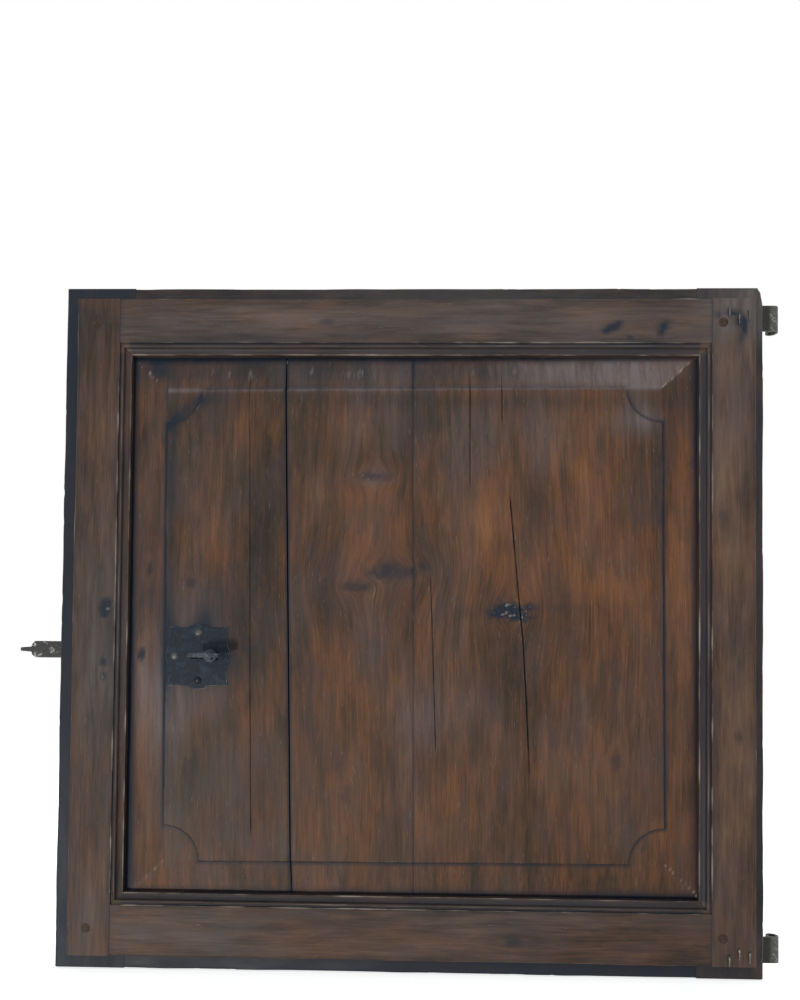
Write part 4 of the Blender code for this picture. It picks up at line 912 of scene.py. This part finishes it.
BARE_SPOTS = (
    (-190, 296, 150, 10, 0.55), (60, 296, 150, 10, 0.4), (-310, 120, 10, 160, 0.3),
    (-268, 250, 20, 18, 0.45),
)

boards = {}
for node, left, right, seed, sunk in BOARDS:
    piece, x, z = board_sheet(node + "_wood", left, right)
    joints = [(e, 1.0 if line_at(e, 0.0) < -100 * MM else 0.35) for e in (left, right) if len(e) > 1]
    cracks, grime_and_shade, bare_and_highlight = press_cracks(x, z, joints, seed)
    bent, dark = round_knots(x, z, [tuple(v * MM for v in k[:4]) + k[4:] for k in KNOTS_PANEL])
    flat = np.column_stack((x, z))
    inside = inside_field(x, z)
    deep = panel_face(x, z) + cracks + sunk * np.clip((inside + 20 * MM) / (20 * MM), 0, 1)
    deep += 1.3 * MM * np.clip(dark - 0.35, 0, 1) * (0.6 + 0.6 * uneven(flat, 5, 4, 41))
    # painted highlight: a pale grey line along the field's top arris
    top_arris_highlight = near(z - FIELD_Z, 2.6 * MM) * (abs(x) < FIELD_X)
    sides = near(abs(x) - FIELD_X, 4 * MM) * (abs(z) < FIELD_Z - SCOOP)
    mitre = (abs(x) - FIELD_X) / (EDGE_X - FIELD_X) - (abs(z) - FIELD_Z) / (EDGE_Z - FIELD_Z)
    mitre = mitre * 45 * MM
    on_mitre = (inside < 0) & (abs(x) > FIELD_X)
    above = (mitre < 0) & (z > FIELD_Z)
    beside = (mitre > 0) & (x > FIELD_X)
    border = (0.75 + 0.4 * uneven(flat, 30, 30, seed + 7)) * (1 - 0.6 * top_arris_highlight)
    border *= 1 - 0.75 * near(np.hypot(x + 272 * MM, z - 258 * MM), 34 * MM)
    grime_and_shade += dark + (0.95 + 0.4 * sides) * near(inside + 1.6 * MM, 2.1 * MM) * border
    grime_and_shade += spot_sum(x, z, GRIME_AND_SHADE_SPOTS) * (0.65 + 0.6 * uneven(flat, 20, 60, seed + 8))
    # painted shade: where the bevel runs in under the frame's moulding it is painted near black
    grime_and_shade += np.clip((deep - 10.6 * MM) / (1.6 * MM), 0, 1)
    # partly worn, partly painted highlight: a pale line just inside the field's arris
    bare_and_highlight += 0.5 * near(inside - 0.9 * MM, 0.9 * MM) * (0.45 + 0.6 * uneven(flat, 25, 25, seed + 9))
    # partly worn, partly painted highlight: a pale line along each mitre of the bevel, stronger on the
    # right
    mitre_highlight_and_wear = np.where(x > 0, 1.3, 0.6) * near(mitre, 1.5 * MM) * on_mitre
    bare_and_highlight += mitre_highlight_and_wear * (0.6 + 0.5 * uneven(flat, 12, 12, 53))
    bare_and_highlight += spot_sum(x, z, BARE_SPOTS) * np.clip(0.15 + 1.5 * uneven(flat, 6, 22, seed + 12), 0, 1)
    # painted highlight: pale glints in the darkest knots
    bare_and_highlight += 0.5 * (dark > 0.55) * (smooth_noise(flat, (4.5 * MM, 2 * MM), 71) > 0.55)
    lightness = 0.5 + 1.35 * spot_sum(x, z, TONE_SPOTS) + 0.13 * uneven(flat, 34, 80, seed + 10)
    # painted sheen: the top bevel grows lighter towards its right end
    lightness += 0.16 * above * np.clip((x - 80 * MM) / (180 * MM), 0, 1)
    # painted shade: the right side bevel is darker just below its mitre
    lightness -= 0.13 * beside * near(z - 262 * MM, 46 * MM)
    dull_and_sheen = spot_sum(x, z, WAX_AND_SHEEN_SPOTS) + 0.7 * top_arris_highlight + 0.3 * uneven(flat, 50, 150, seed + 11)
    # painted sheen: the top bevel's right half is painted a paler, duller grey
    dull_and_sheen += 0.7 * above * np.clip((x - 40 * MM) / (180 * MM), 0, 1)
    move_to(piece, np.column_stack((x, FRONT + deep, z)))
    found, is_back = thicken(piece)
    x, z, bent = np.tile(x, 2), np.tile(z, 2), np.tile(bent, 2)
    back_y = FRONT + PANEL_BACK + 0.25 * MM * uneven(np.column_stack((x, z)), 30, 200, seed)
    y = np.where(is_back, back_y, found[:, 1])
    grime_and_shade, bare_and_highlight, dull_and_sheen = (np.where(is_back, 0.15, np.tile(v, 2)) for v in (grime_and_shade, bare_and_highlight, dull_and_sheen))
    move_to(piece, np.column_stack((turned(x, z)[0], y, turned(x, z)[1])))
    face_outwards(piece)
    grain = np.column_stack((bent + seed * 0.37, y, z + seed * 0.23))
    paint(piece, grain, grime_and_shade, bare_and_highlight, np.tile(lightness, 2), dull_and_sheen, PANEL_PINE)
    boards[node] = piece
    print(node, len(piece.data.polygons), "faces")

# %% [markdown]
# A tongue runs along each joint between the boards, so a gap that has opened shows black instead of
# daylight. At the very top the tongue has broken away and light comes through. The lock's keyhole goes
# through the board, with room round the key.

# %% Tongues and keyhole
PIN_LOW, PIN_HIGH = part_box("drill_pin")
KEY_X, KEY_Z = (PIN_LOW[0] + PIN_HIGH[0]) / 2, (PIN_LOW[2] + PIN_HIGH[2]) / 2
KEY_ROUND, SLOT_LONG, SLOT_HALF, KEY_ROOM = 5 * MM, 24 * MM, 2.25 * MM, 2 * MM
TONGUE_HALF, TONGUE_FRONT, TONGUE_BACK, TONGUE_FOOT = 2.4 * MM, 13.3 * MM, 15.3 * MM, -318


def keyhole_outline(room):
    """The keyhole in the board, its slot to the left of the key."""
    turns = [math.radians(-135 + 270 * i / 16) for i in range(17)]
    radius, half, slot_x = KEY_ROUND + room, SLOT_HALF + room, KEY_X - SLOT_LONG - room
    ring = [(KEY_X + radius * math.cos(t), KEY_Z + radius * math.sin(t)) for t in turns]
    neck_x = KEY_X - KEY_ROUND
    slot = [(neck_x, half), (slot_x, half), (slot_x, -half), (neck_x, -half)]
    return ring + [(x, KEY_Z + up) for x, up in slot]


keyway = prism("keyway", keyhole_outline(KEY_ROOM), -FAR, FAR)
shape_with(boards["panel_board_lock_side"], keyway)
for joint, top in ((FIRST_JOINT, 309), (SECOND_JOINT, 312)):
    ends = ((-1, TONGUE_FOOT), (1, TONGUE_FOOT), (1, top), (-1, top))
    ends = [turned(line_at(joint, z * MM) + side * TONGUE_HALF, z * MM) for side, z in ends]
    tongue = prism("tongue", ends, TONGUE_FRONT, TONGUE_BACK)
    tongue.data.materials.append(PANEL_PINE)
    choose(boards["panel_board_middle"])
    tongue.select_set(True)
    bpy.ops.object.join()
for node, piece in boards.items():
    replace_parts(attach(piece, "door"), node)
print("boards", [len(piece.data.polygons) for piece in boards.values()])

# %% [markdown]
# ## Ironwork
# All the ironwork is hand forged and blackened. The keyhole plate is smooth and blue-black, with painted
# highlights on its rim, strongest on its lower and left edges. The hinge eyes and the key are rubbed paler,
# the left half of each hinge eye carries painted shade, the bolt is bare grey where its keep rubs it, and
# the lock on the back is rusty. The solids already have the right shapes, so each piece is a copy of its
# solid with its edges eased, because a forged edge is never sharp.

# %% Forged iron
def forged_iron(name, dark, light, rust, rust_share, rubbed, rubbed_share, roughness, relief):
    """Iron with pits of 2 mm, rust blooms of 12 mm and rubbed spots of 5 mm."""
    made, tree, shader = new_material(name)
    place = add_node(tree, "TexCoord", "in the door", {}, "Object")
    noise = {}
    for word, size in (("pits", 2), ("blooms", 12), ("spots", 5)):
        scale = {"Vector": place, "Scale": 1 / (size * MM), "Detail": 4, "Roughness": 0.6}
        noise[word] = add_node(tree, "TexNoise", word, scale)
    tints = []
    for word, low, high, share, code in (
        ("pits", 0.35, 0.7, 1.0, light), ("blooms", 0.5, 0.72, rust_share, rust),
        ("spots", 0.55, 0.75, rubbed_share, rubbed),
    ):
        ramp = {0: noise[word], 1: low, 2: high, 4: share}
        tints.append((word, add_node(tree, "MapRange", word, ramp), code))
    # painted highlights on the plate's edges and painted shade on the hinge eyes are painted on the mesh
    for word, code in (("painted_edge_glint", "d3d9dd"), ("painted_eye_shade", "1c1c1b")):
        tints.append((word, add_node(tree, "Attribute", word, {}, "Fac", attribute_name=word), code))
    colour = from_hex(dark)
    for word, share, code in tints:
        mixed = {0: share, 6: colour, 7: from_hex(code)}
        colour = add_node(tree, "Mix", word, mixed, 2, data_type="RGBA")
    tree.links.new(colour, shader.inputs["Base Color"])
    shader.inputs["Metallic"].default_value = 0.4
    shader.inputs["Specular IOR Level"].default_value = 0.25
    worn = {0: noise["pits"], 1: 0.3, 2: 0.7, 3: roughness + 0.1, 4: roughness - 0.08}
    tree.links.new(add_node(tree, "MapRange", "sheen", worn), shader.inputs["Roughness"])
    raised = {0: noise["spots"], 1: 1.6, 2: noise["pits"]}
    lumps = add_node(tree, "Math", "lumps", raised, operation="MULTIPLY_ADD")
    bumps = {"Strength": 0.6, "Distance": relief * MM, "Height": lumps}
    tree.links.new(add_node(tree, "Bump", "forged lumps", bumps), shader.inputs["Normal"])
    return made


# name, dark and light tones, rust and its share, rubbed spots and their share, roughness, relief in mm
BLACK_IRON, HINGE_IRON, BOLT_IRON, LOCK_IRON, KEY_IRON = (forged_iron(*finish) for finish in (
    # blue-black and smooth
    ("blackened_forged_iron", "0d161f", "121d27", "2a3642", 0.6, "3a4651", 0.35, 0.38, 0.07),
    # pale grey, rubbed by the pintle
    ("rubbed_hinge_iron", "3f403e", "5c5c58", "4c453e", 0.5, "a9aaa5", 0.65, 0.45, 0.25),
    # bare grey
    ("rubbed_bolt_iron", "282929", "3d3e3e", "45413d", 0.35, "c3c4c4", 0.8, 0.40, 0.12),
    # brown with rust
    ("rusty_lock_iron", "33322f", "4b4844", "5e432f", 0.85, "7d7a74", 0.35, 0.6, 0.5),
    # rubbed by hands
    ("rubbed_key_iron", "2c3238", "454c53", "3c3a38", 0.3, "9aa0a4", 0.5, 0.36, 0.2),
))


def eased_copy(node, body, material, width, segments=2, cuts=()):
    """A copy of a solid with its sharp edges rounded, and divided across X at cuts to take paint."""
    piece = new_object(node + "_iron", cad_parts[node].data.copy())
    choose(piece)
    work_on_mesh(
        (bpy.ops.mesh.remove_doubles, {"threshold": 0.01 * MM}),
        (bpy.ops.mesh.dissolve_limited, {"angle_limit": math.radians(2)}),
        *((bpy.ops.mesh.bisect, {"plane_co": (x, 0, 0), "plane_no": (1, 0, 0)}) for x in cuts), OUTWARDS,
    )
    ease = piece.modifiers.new("ease", "BEVEL")
    ease.width = width
    ease.segments = segments
    ease.limit_method = "ANGLE"
    ease.angle_limit = math.radians(40)
    bpy.ops.object.modifier_apply(modifier=ease.name)
    bpy.ops.object.shade_smooth_by_angle(angle=math.radians(50))
    level = piece.modifiers.new("level", "WEIGHTED_NORMAL")
    level.keep_sharp = True
    bpy.ops.object.modifier_apply(modifier=level.name)
    piece.data.materials.clear()
    piece.data.materials.append(material)
    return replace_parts(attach(piece, body), node)


plate = eased_copy("keyhole_plate", "door", BLACK_IRON, 0.8 * MM, 3)
found = places(plate)
off_x, off_z = found[:, 0] - found[:, 0].mean(), found[:, 2] - found[:, 2].mean()
rim = np.clip((np.maximum(abs(off_x), abs(off_z)) - 24 * MM) / (6 * MM), 0, 1)
batter = np.column_stack((off_x, off_z))
found[:, 0] += 0.8 * MM * rim * uneven(batter, 9, 9, 61)
found[:, 2] += 0.8 * MM * rim * uneven(batter, 9, 9, 64)
move_to(plate, found)
# painted highlight: pale glints on the plate's rim, full on its lower and left edges, weaker elsewhere
painted_edge_glint = rim * (found[:, 1] > found[:, 1].min() + 0.05 * MM)
painted_edge_glint = painted_edge_glint * (smooth_noise(batter, (13 * MM, 16 * MM), 66) > -0.4)
painted_edge_glint = painted_edge_glint * np.where((off_z < -20 * MM) | (off_x < -31 * MM), 1.0, 0.45)
write_attribute(plate, "painted_edge_glint", painted_edge_glint)
eased_copy("key", "key", KEY_IRON, 1.2 * MM, 3)
eased_copy("lock_bolt", "bolt", BOLT_IRON, 1.0 * MM, 3)
# painted shade: the left half of each hinge eye, as the lens sees it, is painted near black
for node in ("upper_hinge", "lower_hinge"):
    hinge = eased_copy(node, "door", HINGE_IRON, 0.7 * MM, cuts=(-3.5 * MM, -6.5 * MM))
    found = places(hinge)
    painted_eye_shade = np.clip((0.5 * MM - 0.9 * found[:, 0] + 0.43 * found[:, 1]) / (3 * MM), 0, 0.9)
    write_attribute(hinge, "painted_eye_shade", painted_eye_shade)
for node in ("lock_plate", "lock_rim", "lock_cover", "bolt_staple"):
    eased_copy(node, "door", LOCK_IRON, 0.6 * MM)
print("iron pieces", len([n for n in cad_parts.values() if n.hide_render]))

# %% [markdown]
# ## What stays as it is
# The small fastenings and the parts shut inside the lock have the right shape already. They get the finish
# of the pieces beside them, except that two nails of the keyhole plate take the paler hinge iron as a
# painted highlight. The pegs show their end grain, a faint disc with soft rings.

# %% Finishes on the remaining solids
# end grain of a whittled peg: a little darker than the frame, with soft rings
END_GRAIN, end_tree, end_shader = new_material("pine_end_grain")
end_place = add_node(end_tree, "TexCoord", "in the door", {}, "Object")
end_rings = {"Vector": end_place, "Scale": 1 / (3 * MM), "Detail": 3}
end_noise = add_node(end_tree, "TexNoise", "soft rings", end_rings)
end_share = add_node(end_tree, "MapRange", "rings", {0: end_noise, 1: 0.3, 2: 0.7})
end_mix = {0: end_share, 6: from_hex("2a211b"), 7: from_hex("42352c")}
end_colour = add_node(end_tree, "Mix", "end grain", end_mix, 2, data_type="RGBA")
end_tree.links.new(end_colour, end_shader.inputs["Base Color"])
end_shader.inputs["Roughness"].default_value = 0.6
end_shader.inputs["Specular IOR Level"].default_value = WOOD_SHEEN
RUSTY_NAMES = ("lock_", "bolt_", "cover_", "drill", "ward")
# painted highlight: the left and top nails of the keyhole plate take the paler hinge iron, the others stay
# blackened
NAILS_PAINTED_LIT = ("plate_nail_left", "plate_nail_top")
for node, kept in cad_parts.items():
    if kept.hide_render:
        continue
    finish = LOCK_IRON if node.startswith(RUSTY_NAMES) else BLACK_IRON
    finish = HINGE_IRON if "hinge_nail" in node or node.endswith(NAILS_PAINTED_LIT) else finish
    finish = END_GRAIN if "peg" in node or "packing" in node else finish
    for place in kept.material_slots:
        place.material = finish

# %% Bringing the scene up to date
bpy.context.view_layer.update()
